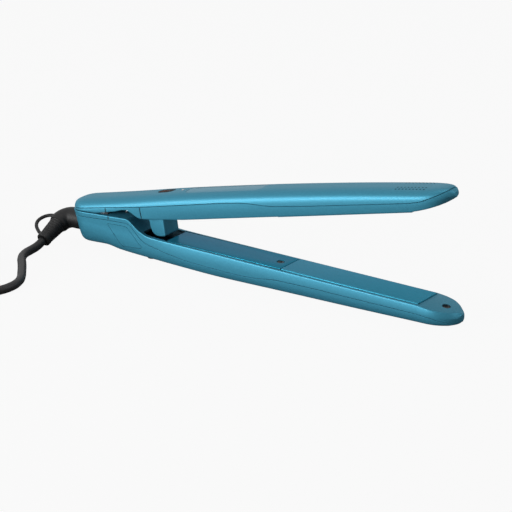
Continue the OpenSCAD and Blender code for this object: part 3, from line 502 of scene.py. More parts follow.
def half_arc(c, s0, s1, n):
    """Half of a section between two depths."""
    w, deep, mid, edge, e = c

    def turn(s):
        if s <= mid:
            return (s - mid) / (mid - e)
        return asin(min(1, (s - mid) / (deep - mid)) ** 1.5) / (pi / 2)
    made = []
    for i in range(n + 1):
        v = turn(s0) + (turn(s1) - turn(s0)) * i / n
        if v > 0:
            a = min(pi / 2, v * pi / 2)
            made.append((w * max(0, cos(a)) ** (2 / 3), mid + (deep - mid) * sin(a) ** (2 / 3)))
        else:
            made.append((max(edge, w - (w - edge) * min(1, -v) ** 2), mid + v * (mid - e)))
    return made


def whole(half):
    """Half a section and its mirror image."""
    return half + [(-y, z) for y, z in half[-2::-1]]


def leaning(arm, x, ring):
    """The lower arm's rear end leans."""
    lean = arm[3] * min(1, max(0, (lean_x - x) / lean_l))
    return [(x + lean * (z - lean_z), y, z) for y, z in ring]


def swung(x, z, angle):
    """Place after the upper arm has turned by the angle about the hinge."""
    u, v = x - hinge_x, z - hinge_h
    return (hinge_x + u * cos(angle) - v * sin(angle), hinge_h + u * sin(angle) + v * cos(angle))


def lower_tail_z(x):
    """Height of the lower arm's rim about the hinge."""
    return hinge_h - tail_drop + (x - hinge_x) * tail_slope


# where shell and housing part, and the housings' open edge
beside_plate = [
    (-4, 9, 8), (30, 8.2, 6), (122, 7.5, 6), (132, 8.5), (138, 10), (143, 11.2), (149, 13),
    (153, 14.8), (tip_x + 4, 17)]
upper_part = softened([
    (tail_x - 6, 13.7), (-162, 12.9), (-128, 12.2), (-90, 12.5), (-45, 12.9, 6),
    (-24, 12.3, 10)] + beside_plate)
lower_part = softened([
    (tail_x - 6, -1.2), (-162, -5), (-141, -6.3, 4), (-128, 5.8, 6), (-108, 9.6, 8),
    (-85, 12.2, 8), (-45, 12.8, 8), (-24, 12.2, 10)] + beside_plate)
lower_rim = softened([
    (tail_x - 6, -lower_tail_z(tail_x - 6)), (hinge_x - 2, 0.75 - hinge_h), (-142.4, -9.7, 2.5),
    (-131.5, -2.1, 3), (-124, 0.6, 3), (-112, rim)] + nose_rim)
upper_rim = softened([swung(x, lower_tail_z(x) + tail_gap, -radians(open_angle))
                      for x in (tail_x - 6, hinge_x - 3)] + [
    (-167, 9.3), (-153, 9.7, 3), (-146.5, 10.8, 3), (-140.7, 10.3, 2.5), (-131.4, 3.4, 2.5),
    (-127, 2.8), (-89, rim)] + nose_rim)
at_closed = Matrix.Rotation(pitch, 4, "Y") @ Matrix.Translation((-rest_x, 0, rest_depth))
on_lower = at_closed @ Matrix.Diagonal((1, 1, -1, 1))
on_upper = (at_closed @ Matrix.Translation((hinge_x, 0, hinge_h))
            @ Matrix.Rotation(radians(-open_angle), 4, "Y")
            @ Matrix.Translation((-hinge_x, 0, -hinge_h)))
arms = (("lower", on_lower), ("upper", on_upper))


def stations(arm, stops=None):
    """Places along an arm, close together where it turns."""
    xs = [tail_x + tail_turn * (1 - sin(radians(a))) for a in range(86, 0, -5)]
    x = tail_x + tail_turn
    while x < tip_x - nose_turn:
        xs.append(x)
        x += 1 if -150 < x < -105 or x > 108 else 2.5
    reach = nose_turn + arm[4]
    xs += [tip_x + arm[4] - reach * (1 - sin(radians(a))) for a in range(3, 88, 3)]
    return [x for x in xs if not stops or line_at(stops, x) < section(arm, x)[1] - 0.06]


# pearl lacquer: soft fine flake under a thin clear coat, its shine tinted by the teal
shine_tint = paint("#B4DBE8")
lacquer = finish_of(
    "pearl_teal_lacquer", "#357B93", Metallic=0.42, Roughness=0.45, Coat_Weight=0.04,
    Coat_Roughness=0.1, Specular_IOR_Level=0.3, Specular_Tint=shine_tint)
grain(lacquer, 700, 0.004, ("#33778E", "#377D94"))
# dark unpainted nylon inside the mouldings; its dark teal is also painted shade where it shows
# in the pocket and openings
inside = finish_of("inner_nylon_painted_shade", "#1B3E4B", Roughness=0.6)
grain(inside, 1200, 0.03, ("#193B48", "#1E4250"))


def put(name, made, matrix, materials, marks=None):
    """Piece from points and faces given in a frame of its own."""
    points, faces = made
    return mesh_piece(name, [matrix @ Vector(p) for p in points], faces, materials, marks)


def raised(parting):
    """The parting line where the shell starts, a seam above the housing."""
    return [(x, z + seam) for x, z in parting]


def shell(name, arm, parting, matrix, belly=None):
    """Outer half of an arm, from the parting line to the crown."""
    rings, n = [], 22
    for x in stations(arm, raised(parting)):
        c, b, s = section(arm, x), section(arm, x, wall), line_at(parting, x) + seam
        out = half_arc(c, min(s + 0.3, c[1] - 0.05), c[1], n)
        out = [(max(out[0][0] - broken, out[0][0] * 0.6), s)] + out
        if belly:
            out = [(y, min(z, belly(x))) for y, z in out]
        if tail_x + solid_tail < x < tip_x - solid_nose:
            ins = half_arc(b, s, b[1], n)
            ins = [ins[0]] + ins
        else:
            ins = [(out[0][0] * 0.9 * (1 - i / (n + 1)), s) for i in range(n + 2)]
        rings.append(leaning(arm, x, whole(out) + whole(ins)[::-1]))
    half = len(rings[0]) // 2
    marks = [0, 0] + ([0] * (half - 1) + [1] * (half + 1)) * (len(rings) - 1)
    return put(name, loft(rings), matrix, [lacquer, inside], marks)


def belly_depth(x):
    """Depth at which the closed tool's lower crown meets the table."""
    return rest_depth - (x - rest_x) * tan(pitch)


def prism(outline, y0, y1):
    """Points and faces of an (x, z) outline drawn out across the arm."""
    points, faces = loft([[(x, y, z) for x, z in outline] for y in (y0, y1)])
    return points, [end[::-1] for end in faces[:2]] + faces[2:]  # ends turned over


def block(x, y, z):
    return prism([(x[0], z[0]), (x[1], z[0]), (x[1], z[1]), (x[0], z[1])], y[0], y[1])


def stadium(r, flat, n=40):
    """Ring of points round two half circles that lie flat apart."""
    turn = [2 * pi * (i + 0.5) / n for i in range(n)]
    return [(r * cos(a) + copysign(flat / 2, cos(a)), r * sin(a)) for a in turn]


def upright(ring, heights, x=0):
    """Points and faces of a ring drawn out along the depth."""
    return loft([[(x + px, py, z) for px, py in ring] for z in heights])


def cut_by(piece, tool, how="DIFFERENCE"):
    step = piece.modifiers.new("cut", "BOOLEAN")
    step.operation, step.solver, step.object = how, "MANIFOLD", tool
    as_mesh(piece)


def cut(piece, shapes, matrix):
    """Cuts shapes, given in an arm's own frame, out of a piece."""
    for shape in shapes:
        tool = put("tool", shape, matrix, [inside])
        cut_by(piece, tool)
        bpy.data.objects.remove(tool)
    tidy(piece)


def form(arm, t, x0, x1):
    """Solid of an arm t below its surface, reaching out past its rim."""
    rings, n = [], 60
    for i in range(n + 1):
        x = x0 + (x1 - x0) * i / n
        c = section(arm, x, t)
        rings.append(leaning(arm, x, whole(half_arc(c, past_rim, c[1], 24))))
    return loft(rings)


button_x, light_x = hinge_x + 59.5, hinge_x + 75.5
lower_shell = shell("lower_shell_moulding", lower_arm, lower_part, on_lower, belly_depth)
upper_shell = shell("upper_shell_moulding", upper_arm, upper_part, on_upper)
cut(upper_shell, [
    upright(stadium(4.5, 6.4), (14, crown_top), button_x),
    upright(stadium(1.25, 0), (14, crown_top), light_x)], on_upper)
for piece, body, node in ((lower_shell, "lower_arm", "lower_shell"),
                          (upper_shell, "upper_arm", "upper_shell")):
    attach(piece, body)
    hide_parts(node)

# ---- Housings ----
# The inner halves of the arms: channels that carry the plates and the decks, in the same lacquer,
# with a rim round the plates and a beak-like nose. A thin shadow line parts them from the shells.


def housing(name, arm, parting, rim_line, matrix, first, hollow_from):
    """Inner half of an arm, from the parting line to the rim."""
    rings, n = [], 14
    for x in stations(arm):
        if x <= first:
            continue
        c, b = section(arm, x), section(arm, x, wall)
        s, r = min(line_at(parting, x), c[1] - 0.15), line_at(rim_line, x)
        soft = min(0.7, (s - r) * 0.3)  # the rim's edge rounds off over this depth
        out = half_arc(c, s - min(0.3, (s - r) * 0.2), r + soft, n)
        y0, y1 = out[0][0], half_arc(c, r, r, 1)[0][0]
        out = ([(max(y0 - broken, y0 * 0.6), s)] + out
               + [(y1 - 0.1 * min(1, y1), r + soft * 0.45),
                  (y1 - min(0.3, y1 * 0.2), r + soft * 0.15),
                  (y1 - min(0.75, y1 * 0.4), r), (0, r)])
        m = len(out) - 2
        if hollow_from < x < tip_x - solid_nose:
            floor = min(r + skin, s - 0.2)
            ins = half_arc(b, s, floor, m) + [(0, floor)]
        else:
            ins = [(out[0][0] * 0.9 * (1 - i / (m + 1)), s) for i in range(m + 2)]
        rings.append(leaning(arm, x, whole(ins) + whole(out)[::-1]))
    half = len(rings[0]) // 2
    # past the shell's end its top shows, so that is lacquered too
    ends = stations(arm, raised(parting))[-1]
    marks = [0, 0] + [1 if k < half - 1 and ring[0][0] < ends else 0
                      for ring in rings[:-1] for k in range(2 * half)]
    return put(name, loft(rings), matrix, [lacquer, inside], marks)


deck_seat, deck_w, deck_gap = 1.9, 24.4, 0.7
deck_rear = {"lower": -107, "upper": -97}
deck_half, slot_half, window_y = deck_w / 2, deck_w / 2 + deck_gap, 13.1
hinge_half, hinge_y = 6.2, 11.7  # half the hinge's opening along and across the arm
notch, cheek = 0.9, (14.8, 17)  # width of a notch, and where the cheeks lie
screw_x, screw_hole = (-9, 136), 3.2  # under the deck, and in the nose
post_x = (hinge_x + 43, hinge_x + 57.5)
openings = [
    block((-0.3, plate_l + 0.4), (-window_y, window_y), (-2, 3.1)),
    upright(stadium(screw_hole, 0), (-2, 4.6), screw_x[1])]
lower_housing = housing(
    "lower_housing_moulding", lower_arm, lower_part, lower_rim, on_lower, -999, tail_x + solid_tail)
upper_housing = housing(
    "upper_housing_moulding", upper_arm, upper_part, upper_rim, on_upper, tail_x + 4, hinge_x - 10)


def hollows(arm, hinge_z, notches, extra=()):
    """The plate's, screw's, deck's and hinge's openings, and the notches in the cheeks."""
    seat = block((deck_rear[arm] - deck_gap, -0.2), (-slot_half, slot_half), (-2, deck_seat))
    hinge = block((hinge_x - hinge_half, hinge_x + hinge_half), (-hinge_y, hinge_y), hinge_z)
    return openings + [seat, *extra, hinge] + [
        block((x - notch / 2, x + notch / 2), y, z) for x, z in notches
        for y in (cheek, (-cheek[1], -cheek[0]))]


pocket = block((post_x[0] - 2.5, deck_rear["lower"] + 0.1), (-deck_half, deck_half), (-2, 12))
cut(lower_housing, hollows("lower", (-12, -2), [(hinge_x + 9, (-9.2, -5.2))], [pocket]), on_lower)
cut(upper_housing, hollows("upper", (8, 13.2), [
    (hinge_x + 7.5, (9.6, 13.4)), (hinge_x + 42, (3.4, 12.8))]), on_upper)
for piece, body, node in ((lower_housing, "lower_arm", "lower_housing"),
                          (upper_housing, "upper_arm", "upper_housing")):
    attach(piece, body)
    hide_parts(node)

# ---- Side panels ----
# Shallow covers let into both cheeks of the lower arm, each with a hairline gap all round.
panel = softened([(hinge_x + 8, -2.2, 1.5), (hinge_x + 26.5, -3.4, 2.5),
                  (hinge_x + 42, 11, 2), (hinge_x + 22, 13.2, 3)])


def wider(outline, d):
    """Closed outline, anticlockwise, moved outwards by d."""
    made = []
    for i, p in enumerate(outline):
        along = (Vector(outline[(i + 1) % len(outline)]) - Vector(outline[i - 1])).normalized()
        made.append(tuple(Vector(p) + d * Vector((along.y, -along.x))))
    return made


def let_in(name, arm, matrix, host, reach, depth, hole, cover, finish):
    """Cover flush with an arm's surface, in a pocket of the host with a hairline gap round it."""
    inner = put("inner", form(arm, depth, *reach), matrix, [inside])
    outer = put("outer", form(arm, 0.02, *reach), matrix, [finish])
    pocket = put("pocket", hole, matrix, [inside])
    made = put(name, cover, matrix, [finish])
    for piece, tool, how in ((pocket, inner, "DIFFERENCE"), (host, pocket, "DIFFERENCE"),
                             (made, inner, "DIFFERENCE"), (made, outer, "INTERSECT")):
        cut_by(piece, tool, how)
        tidy(piece)
    for tool in (inner, outer, pocket):
        bpy.data.objects.remove(tool)
    return made


for side, y in (("far", (9, 20)), ("near", (-20, -9))):
    cover = let_in("side_panel_" + side, lower_arm, on_lower, lower_shell, (hinge_x - 4, -105),
                   0.8, prism(wider(panel, 0.25), *y), prism(panel, *y), lacquer)
    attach(cover, "lower_arm")
    if side == "far":
        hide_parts("side_panels")

# ---- Crown inlay ----
# A long smooth strip let into the upper crown ahead of the button, bare of any mark. It has a
# smoother clear coat over the same teal.
polished = finish_of(
    "polished_teal_lacquer", "#357A91", Metallic=0.35, Roughness=0.35, Coat_Weight=0.18,
    Coat_Roughness=0.05, Specular_IOR_Level=0.2, Specular_Tint=shine_tint)
grain(polished, 700, 0.002, ("#33778E", "#377D94"))


def cornered(corners, n=12):
    """Outline through round corners, each given as its middle, radius and first angle."""
    return [(cx + r * cos(radians(first + 90 * k / n)), cy + r * sin(radians(first + 90 * k / n)))
            for cx, cy, r, first in corners for k in range(n + 1)]


def slab(x0, x1, half, r):
    """Upright slab with rounded corners."""
    ring = cornered([(x1 - r, half - r, r, 0), (x0 + r, half - r, r, 90),
                     (x0 + r, r - half, r, 180), (x1 - r, r - half, r, 270)])
    return upright(ring, (12, crown_top))


inlay = let_in(
    "crown_inlay", upper_arm, on_upper, upper_shell, (-100, -5), 0.35, slab(-88, -16, 8.2, 5),
    slab(-87.8, -16.2, 8, 4.8), polished)
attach(inlay, "upper_arm")

# ---- Crown dots ----
# Two short rows of small flat dots on each shoulder of the upper arm near its tip, printed in
# dark ink on the lacquer.
ink = finish_of("dark_teal_ink", "#0F3644", Roughness=0.6, Specular_IOR_Level=0.1)
grain(ink, 900, 0.01, ("#0E3442", "#113947"))
for side, y in (("near", -7), ("far", 7)):
    above = on_upper @ Vector((119, y, 30))
    sizes = {"Shell": upper_shell, "Columns": 9, "Rows": 2, "Length": 24 * MM, "Width": 3.2 * MM,
             "Dot": 0.7 * MM, "Ink": 0.06 * MM, "Middle": tuple(above * MM),
             "Turn": tuple(on_upper.to_euler()),
             "Down": tuple(on_upper.to_3x3() @ Vector((0, 0, -1)))}
    tree, size = pattern("rows_of_dots", **sizes)
    grid = add(tree, "GeometryNodeMeshGrid", {
        "Size X": size["Length"], "Size Y": size["Width"], "Vertices X": size["Columns"],
        "Vertices Y": size["Rows"]})
    laid = add(tree, "GeometryNodeTransform", {
        "Geometry": grid, "Translation": size["Middle"], "Rotation": size["Turn"]})
    crown = add(tree, "GeometryNodeObjectInfo", {"Object": size["Shell"]}).outputs["Geometry"]
    hit = add(tree, "GeometryNodeRaycast", {
        "Target Geometry": crown, "Ray Length": 50 * MM, "Ray Direction": size["Down"]}).outputs
    facing = add(tree, "FunctionNodeAlignRotationToVector", {"Vector": hit["Hit Normal"]}, axis="Z")
    dot = add(tree, "GeometryNodeMeshCylinder", {
        "Vertices": 20, "Radius": size["Dot"], "Depth": size["Ink"]})
    dots = add(tree, "GeometryNodeInstanceOnPoints", {
        "Points": laid, "Instance": dot, "Rotation": facing})
    fall = add(tree, "ShaderNodeVectorMath", {
        0: size["Down"], "Scale": hit["Hit Distance"]}, operation="SCALE")
    landed = add(tree, "GeometryNodeTranslateInstances", {
        "Instances": dots, "Translation": fall, "Local Space": False})
    made = grown("crown_dots_" + side, tree, landed, ink, sizes)
    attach(made, "upper_arm")

# ---- Plates ----
# Extruded aluminium plates with rounded long edges under a teal ceramic coat with a low shine.
# Behind each lie the heater, its spring leaf, sensor and tray.
coat = finish_of(
    "plate_ceramic_coat", "#3B92AD", Metallic=0.35, Roughness=0.42, Specular_IOR_Level=0.06,
    Specular_Tint=paint("#3B92AD"))
grain(coat, 1600, 0.004, ("#3A90AB", "#3E96B1"), (0.12, 1, 1))


def rounded(y0, y1, z0, z1, r, back_r=0.2):
    """Rounded box outline, its near-side corners of radius r."""
    return cornered([(y1 - r, z0 + r, r, -90), (y1 - back_r, z1 - back_r, back_r, 0),
                     (y0 + back_r, z1 - back_r, back_r, 90), (y0 + r, z0 + r, r, 180)], 8)


def bar(x0, x1, outline, soft=0.3):
    """Bar of a (y, z) outline along the arm, its ends just broken."""
    cy, cz = (sum(p[k] for p in outline) / len(outline) for k in (0, 1))

    def drawn_in(v, middle, s):
        return v - copysign(min(s, abs(v - middle)), v - middle)
    ends = [(x0, soft), (x0 + soft * 0.3, soft * 0.3), (x0 + soft, 0),
            (x1 - soft, 0), (x1 - soft * 0.3, soft * 0.3), (x1, soft)]
    return loft([[(x, drawn_in(y, cy, s), drawn_in(z, cz, s)) for y, z in outline]
                 for x, s in ends])


plate_half, plate_face, plate_back, leg_t = 12.7, 0.15, 2.35, 1.6
for arm, matrix in arms:
    body = arm + "_arm"
    outline = rounded(-plate_half, plate_half, plate_face, plate_back, 0.8)
    face = put(arm + "_plate_face", bar(0, plate_l, outline), matrix, [coat])
    legs = [put("leg", block((0, plate_l), (y, y + leg_t), (plate_back, 7.5)), matrix, [coat])
            for y in (8.6, -10.2)]
    with bpy.context.temp_override(active_object=face, selected_editable_objects=[*legs, face]):
        bpy.ops.object.join()
    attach(face, body)
    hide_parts(arm + "_plate")

ceramic = finish_of("heater_ceramic", "#E4DFD4", Roughness=0.55)
grain(ceramic, 900, 0.02, ("#DDD7CB", "#EAE6DC"))
spring_steel = finish_of("spring_steel", "#B9BDC1", Metallic=1.0, Roughness=0.3)
grain(spring_steel, 900, 0.01, ("#B2B6BA", "#C0C4C8"), (0.2, 1, 1))
tray = finish_of("heatproof_tray", "#232325", Roughness=0.65)
grain(tray, 1100, 0.05, ("#202022", "#28282B"))
silicone = finish_of("red_silicone", "#B4472F", Roughness=0.6)
grain(silicone, 900, 0.03, ("#AC422B", "#BC4D35"))
glaze = finish_of("glazed_bead", "#CFC7AF", Roughness=0.35)
grain(glaze, 900, 0.02, ("#C8C0A8", "#D6CEB8"))
for part, material in (("carrier", tray), ("heater", ceramic), ("clip", spring_steel),
                       ("cushions", silicone), ("sensor", glaze)):
    coated_with(material, "lower_" + part, "upper_" + part)

# ---- Decks ----
# Long flat covers behind the plates, lacquered smoother than the shells, each with the hole of a
# sunk screw. Their rear edge rolls down towards the guide post's pocket.
deck_coat = finish_of(
    "smooth_teal_lacquer", "#2A88A4", Metallic=0.35, Roughness=0.22, Specular_IOR_Level=0.06,
    Specular_Tint=paint("#267C96"))
grain(deck_coat, 700, 0.003, ("#2885A1", "#2C8BA7"))
roll_l, roll_drop = 1.6, 1.1
for arm, matrix in arms:
    rear = deck_rear[arm]
    points, faces = bar(rear, -1, rounded(-deck_half, deck_half, 0.35, deck_seat, 0.5))
    points = [(x, y, z + (roll_drop * (1 - (x - rear) / roll_l) ** 2
                          if x < rear + roll_l and z < 1.2 else 0)) for x, y, z in points]
    deck = put(arm + "_deck_cover", (points, faces), matrix, [deck_coat])
    cut(deck, [upright(stadium(screw_hole, 0), (-2, 4), screw_x[0])], matrix)
    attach(deck, arm + "_arm")
    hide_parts(arm + "_deck")

# ---- Screws ----
# Pan-head screws in blackened steel with a cross recess, one under the deck and one in the nose
# of each arm, sunk in their holes.
blacked = finish_of("black_oxide_steel", "#161718", Metallic=0.8, Roughness=0.45)
grain(blacked, 900, 0.02, ("#141516", "#191A1B"))
for arm, matrix in arms:
    sizes = {"Count": 2, "First": (screw_x[0] * MM, 0.0, deck_seat * MM),
             "Step": ((screw_x[1] - screw_x[0]) * MM, 0.0, 2.7 * MM), "Head": 2.5 * MM,
             "Thick": 1.1 * MM, "Shank": 1.1 * MM, "Long": 6.5 * MM,
             "Slot": (3 * MM, 0.7 * MM, 1.5 * MM), "Slot at": (0.0, 0.0, -1.25 * MM),
             "Shank at": (0.0, 0.0, 3.2 * MM)}
    tree, size = pattern("cross_head_screws", **sizes)
    row = add(tree, "GeometryNodeMeshLine", {
        "Count": size["Count"], "Offset": size["Step"], "Start Location": size["First"]})
    head = add(tree, "GeometryNodeMeshCylinder", {
        "Vertices": 32, "Radius": size["Head"], "Depth": size["Thick"]})
    half = add(tree, "ShaderNodeMath", {0: size["Thick"], 1: -0.5}, operation="MULTIPLY")
    up = add(tree, "ShaderNodeCombineXYZ", {"Z": half})
    sunk = add(tree, "GeometryNodeTransform", {"Geometry": head, "Translation": up})
    cube = add(tree, "GeometryNodeMeshCube", {"Size": size["Slot"]})
    first = add(tree, "GeometryNodeTransform", {"Geometry": cube, "Translation": size["Slot at"]})
    second = add(tree, "GeometryNodeTransform", {"Geometry": first, "Rotation": (0, 0, pi / 2)})
    cross = add(tree, "GeometryNodeMeshBoolean", {
        "Mesh 1": sunk, "Mesh 2": [first, second]}, operation="DIFFERENCE", solver="EXACT")
    shank = add(tree, "GeometryNodeMeshCylinder", {
        "Vertices": 24, "Radius": size["Shank"], "Depth": size["Long"]})
    below = add(tree, "GeometryNodeTransform", {"Geometry": shank, "Translation": size["Shank at"]})
    screw = add(tree, "GeometryNodeJoinGeometry", {"Geometry": [below, cross]})
    screws = add(tree, "GeometryNodeInstanceOnPoints", {"Points": row, "Instance": screw})
    made = grown(arm + "_cross_head_screws", tree, screws, blacked, sizes, matrix)
    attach(made, arm + "_arm")
    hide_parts(arm + "_screws")

# ---- Guide post ----
# A moulded tongue on the upper arm drops into the lower arm's pocket and keeps the arms in line.
outline = softened([(post_x[0], 6), (post_x[0], -13, 9), (post_x[1] - 1.5, -13, 1.5),
                    (post_x[1], 6)], 14)
guide = put("guide_post_tongue", prism(outline, -8.5, 8.5), on_upper, [lacquer])
step = guide.modifiers.new("broken_edges", "BEVEL")
step.width, step.segments, step.angle_limit = 0.7 * MM, 4, radians(40)
as_mesh(guide)
tidy(guide)
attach(guide, "upper_arm")
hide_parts("guide_post")

# ---- Hinge, spring and foot ----
# Black nylon lugs and a knuckle on a steel pin, a coil spring that holds the arms open, and a
# small rubber pad that keeps the rear end off the table.
nylon = finish_of("glass_filled_nylon", "#1C1C1E", Roughness=0.55)
grain(nylon, 1300, 0.04, ("#19191B", "#212124"))
coated_with(nylon, "hinge_lugs", "hinge_knuckle", "swivel_socket")
coated_with(spring_steel, "hinge_pin", "retainer")

# the spring stands in a seat in each arm
spring_x, spring_r, wire_r, seat_depth = hinge_x + 18, 2.6, 0.4, 2.6
lower_mouth, upper_mouth = lower_tail_z(spring_x) - 1, 9.9
bottom = (spring_x, lower_mouth - seat_depth + wire_r + 0.05)
top = swung(spring_x, upper_mouth + seat_depth - wire_r - 0.4, radians(open_angle))
sizes = {"Turns": 4.5, "Radius": spring_r * MM, "Wire": wire_r * MM,
         "Height": dist(bottom, top) * MM}
tree, size = pattern("wound_spring", **sizes)
coil = add(tree, "GeometryNodeCurveSpiral", {
    "Resolution": 24, "Rotations": size["Turns"], "Start Radius": size["Radius"],
    "End Radius": size["Radius"], "Height": size["Height"]})
wire = add(tree, "GeometryNodeCurvePrimitiveCircle", {"Resolution": 12, "Radius": size["Wire"]})
wound = add(tree, "GeometryNodeCurveToMesh", {
    "Curve": coil, "Profile Curve": wire, "Fill Caps": True})
tilt = atan2(top[0] - bottom[0], top[1] - bottom[1])
spring = grown(
    "opening_spring_coil", tree, wound, spring_steel, sizes,
    at_closed @ Matrix.Translation((bottom[0], 0, bottom[1])) @ Matrix.Rotation(tilt, 4, "Y"))
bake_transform(spring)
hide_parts("opening_spring")

# matte rubber, close to black, softly speckled
rubber = finish_of("soft_black_rubber", "#0C0C0D", Roughness=0.55, Specular_IOR_Level=0.3)
grain(rubber, 1500, 0.05, ("#0A0A0B", "#0F0F10"))
coated_with(rubber, "rest_foot")

# ---- Swivel elbow, strain relief and hanging loop ----
# One black rubber moulding on a stiff core: the elbow turns in the arm's rear end, its leg carries
# a ribbed tapered sleeve that the cord comes out of, and a thin loop for a hook.
swivel_axis = Vector((-235.57, 0, 18.73))  # where the cord's elbow turns
turned_by = radians(68)
at_leg = Matrix.Translation(swivel_axis) @ Matrix.Rotation(-turned_by, 4, "X")
elbow_r, bend, leg_x, reach, relief_top = 8.15, 9, -15, 31.4, 11.4
ring = [(cos(2 * pi * k / 48), sin(2 * pi * k / 48)) for k in range(48)]


def rounds(profile):
    """Rings of a turned piece along the swivel's axis."""
    return [[(x, r * a, r * b) for a, b in ring] for x, r in profile]


rings = rounds([(8, elbow_r * 0.94)] + [(x, elbow_r) for x in (7.6, 4, 0, -3, -6)])
for i in range(1, 19):
    t = radians(5 * i)
    cx, cz = leg_x + bend - bend * sin(t), -bend + bend * cos(t)
    rings.append([(cx - elbow_r * b * sin(t), elbow_r * a, cz + elbow_r * b * cos(t))
                  for a, b in ring])
rings += [[(leg_x - r * b, r * a, z) for a, b in ring]
          for r, z in ((7.7, -relief_top + 0.8), (7.25, -relief_top))]
elbow = put("swivel_elbow_moulding", loft(rings), at_leg, [rubber])
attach(elbow, "cord_elbow")

# the spindle has a groove for the retainer near its end
spindle_r, groove_r = 4.5, 3.5
spindle = put("swivel_spindle", loft(rounds([
    (8, spindle_r), (17.6, spindle_r), (17.8, spindle_r), (17.81, groove_r), (19.39, groove_r),
    (19.4, spindle_r), (20.6, spindle_r), (21, 4.1)])), at_leg, [nylon])
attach(spindle, "cord_elbow")
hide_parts("swivel_elbow")

# the sleeve: seven shallow grooves round a taper, and a plain collar at its end
sizes = {"Length": (reach - relief_top) * MM, "Wide": 6.85 * MM, "Narrow": 5.3 * MM,
         "Collar": 5.8 * MM, "Collar length": 3.3 * MM, "Groove": 0.5 * MM, "Grooves": 7.0,
         "Rounding": 0.7 * MM, "Rounding length": 0.8 * MM}
tree, size = pattern("ribbed_sleeve", **sizes)
axis = add(tree, "GeometryNodeCurvePrimitiveLine", {
    "Direction": (0, 0, -1), "Length": size["Length"]}, mode="DIRECTION")
fine = add(tree, "GeometryNodeResampleCurve", {"Curve": axis, "Count": 240})
along = add(tree, "GeometryNodeSplineParameter").outputs["Length"]
ribbed = add(tree, "ShaderNodeMath", {
    0: size["Length"], 1: size["Collar length"]}, operation="SUBTRACT")
taper = add(tree, "ShaderNodeMapRange", {
    "Value": along, "From Max": size["Length"], "To Min": size["Wide"], "To Max": size["Narrow"]})
turns = add(tree, "ShaderNodeMapRange", {
    "Value": along, "From Max": ribbed, "To Max": size["Grooves"]})
apart = add(tree, "ShaderNodeMath", {0: turns, 1: 0.5}, operation="PINGPONG")
groove = add(tree, "ShaderNodeMapRange", {
    "Value": apart, "From Min": 0.14, "From Max": 0.3, "To Max": size["Groove"]},
    interpolation_type="SMOOTHSTEP")
grooved = add(tree, "ShaderNodeMath", {0: taper, 1: groove}, operation="SUBTRACT")
beyond = add(tree, "ShaderNodeMath", {0: along, 1: ribbed}, operation="GREATER_THAN")
collar = add(tree, "ShaderNodeMix", {"Factor": beyond, "A": grooved, "B": size["Collar"]})
left = add(tree, "ShaderNodeMath", {0: size["Length"], 1: along}, operation="SUBTRACT")
edge = add(tree, "ShaderNodeMapRange", {
    "Value": left, "From Max": size["Rounding length"], "To Min": size["Rounding"], "To Max": 0},
    interpolation_type="SMOOTHSTEP")
radius = add(tree, "ShaderNodeMath", {0: collar, 1: edge}, operation="SUBTRACT")
circle = add(tree, "GeometryNodeCurvePrimitiveCircle", {"Resolution": 48, "Radius": 1.0})
sleeve = add(tree, "GeometryNodeCurveToMesh", {
    "Curve": fine, "Profile Curve": circle, "Scale": radius, "Fill Caps": True})
relief = grown(
    "strain_relief_sleeve", tree, sleeve, rubber, sizes,
    at_leg @ Matrix.Translation((leg_x, 0, -relief_top)), sharp=50)
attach(relief, "cord_elbow")
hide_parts("strain_relief")

# the loop's middle line, out from the leg and down from the swivel's axis
loop_r = 1.4
loop_line = [
    (-4, 4.2), (-6, 3.4), (-10.5, 2.9), (-14.5, 3.8), (-17.8, 6.4), (-19.6, 10.2), (-19.2, 14.2),
    (-16.6, 18.2), (-12.6, 21.6), (-9.2, 23.9), (-4.5, 25.6)]
loop = line_curve("hanging_loop", [
    at_leg @ Vector((leg_x + out, 0, -down)) for out, down in loop_line], loop_r, 6)
loop.data.materials.append(rubber)
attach(loop, "cord_elbow")
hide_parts("hang_loop")

contact = finish_of("contact_brass", "#C29A4B", Metallic=1.0, Roughness=0.28)
grain(contact, 900, 0.01, ("#BB9346", "#CAA353"))
coated_with(contact, "contact_rings", "contact_blades")
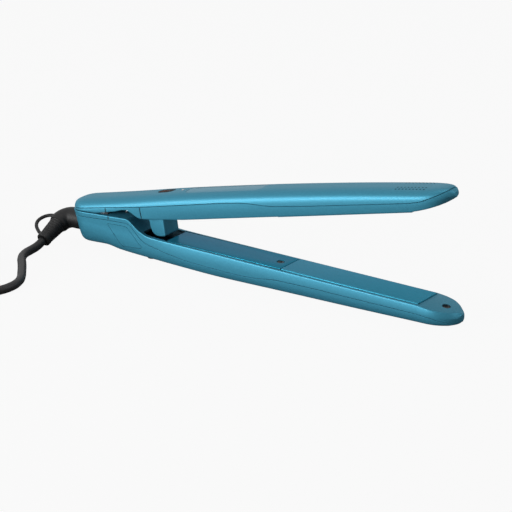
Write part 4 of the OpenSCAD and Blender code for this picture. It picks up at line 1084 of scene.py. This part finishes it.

# ---- Power button, light pipe and board ----
# An oval cap in tinted plastic with a painted dull orange glow at its middle, a clear light pipe
# ahead of it, and the board with its switch below.
dark_tint = finish_of(
    "tinted_button", "#21130F", Metallic=0.5, Roughness=0.3, Specular_IOR_Level=0.05,
    Specular_Tint=paint("#504440"))
tree = dark_tint.node_tree
# the painted glow's middle, and how fast it falls off
place, spread = on_upper @ Vector((button_x - 2, 0, 21)) * MM, 220
where = add(tree, "ShaderNodeTexCoord").outputs["Object"]
spot = add(tree, "ShaderNodeMapping", {
    "Vector": where, "Scale": (spread, spread, spread),
    "Location": tuple(-c * spread for c in place)})
painted_glow = add(tree, "ShaderNodeTexGradient", {"Vector": spot}, gradient_type="SPHERICAL")
# painted glow: the base colour brightens to orange towards the cap's middle
coloured(tree, painted_glow.outputs["Fac"], (0, 0.9), ("#1A0F0C", "#5A2818"))

crown = through(upper_crown, button_x)
cap_r, cap_flat, flange = 4.3, 6.4, 1.12
outline = stadium(cap_r, cap_flat, 48)
rings = [[(button_x + x, y, crown - 3) for x, y in outline]]
# the cap's edge turns over and its top is slightly domed
for inset, down in ((0, 0.5), (0.1, 0.2), (0.35, 0.02), (1.2, -0.08), (2.6, -0.14), (3.8, -0.16)):
    kx, ky = 1 - inset / (cap_r + cap_flat / 2), 1 - inset / cap_r
    rings.append([(button_x + x * kx, y * ky, crown - 0.1 - down - 0.012 * (y * ky) ** 2)
                  for x, y in outline])
button = put("power_button_cap", loft(rings), on_upper, [dark_tint])
under = put(
    "button_flange",
    upright([(x * flange, y * flange) for x, y in outline], (crown - 3, crown - 2.1), button_x),
    on_upper, [dark_tint])
for piece in (button, under):
    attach(piece, "button")
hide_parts("power_button")

clear = finish_of("clear_light_pipe", "#DCDAD2", Roughness=0.1, Transmission_Weight=0.5)
coated_with(grain(clear, 900, 0.005), "light_pipe")
board = finish_of("solder_mask", "#1F5A33", Roughness=0.35)
coated_with(grain(board, 500, 0.02, ("#1B522E", "#256339")), "control_board")
coated_with(spring_steel, "board_switch")

size = {"cad": cad_box, "seen": [list(corner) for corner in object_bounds()]}
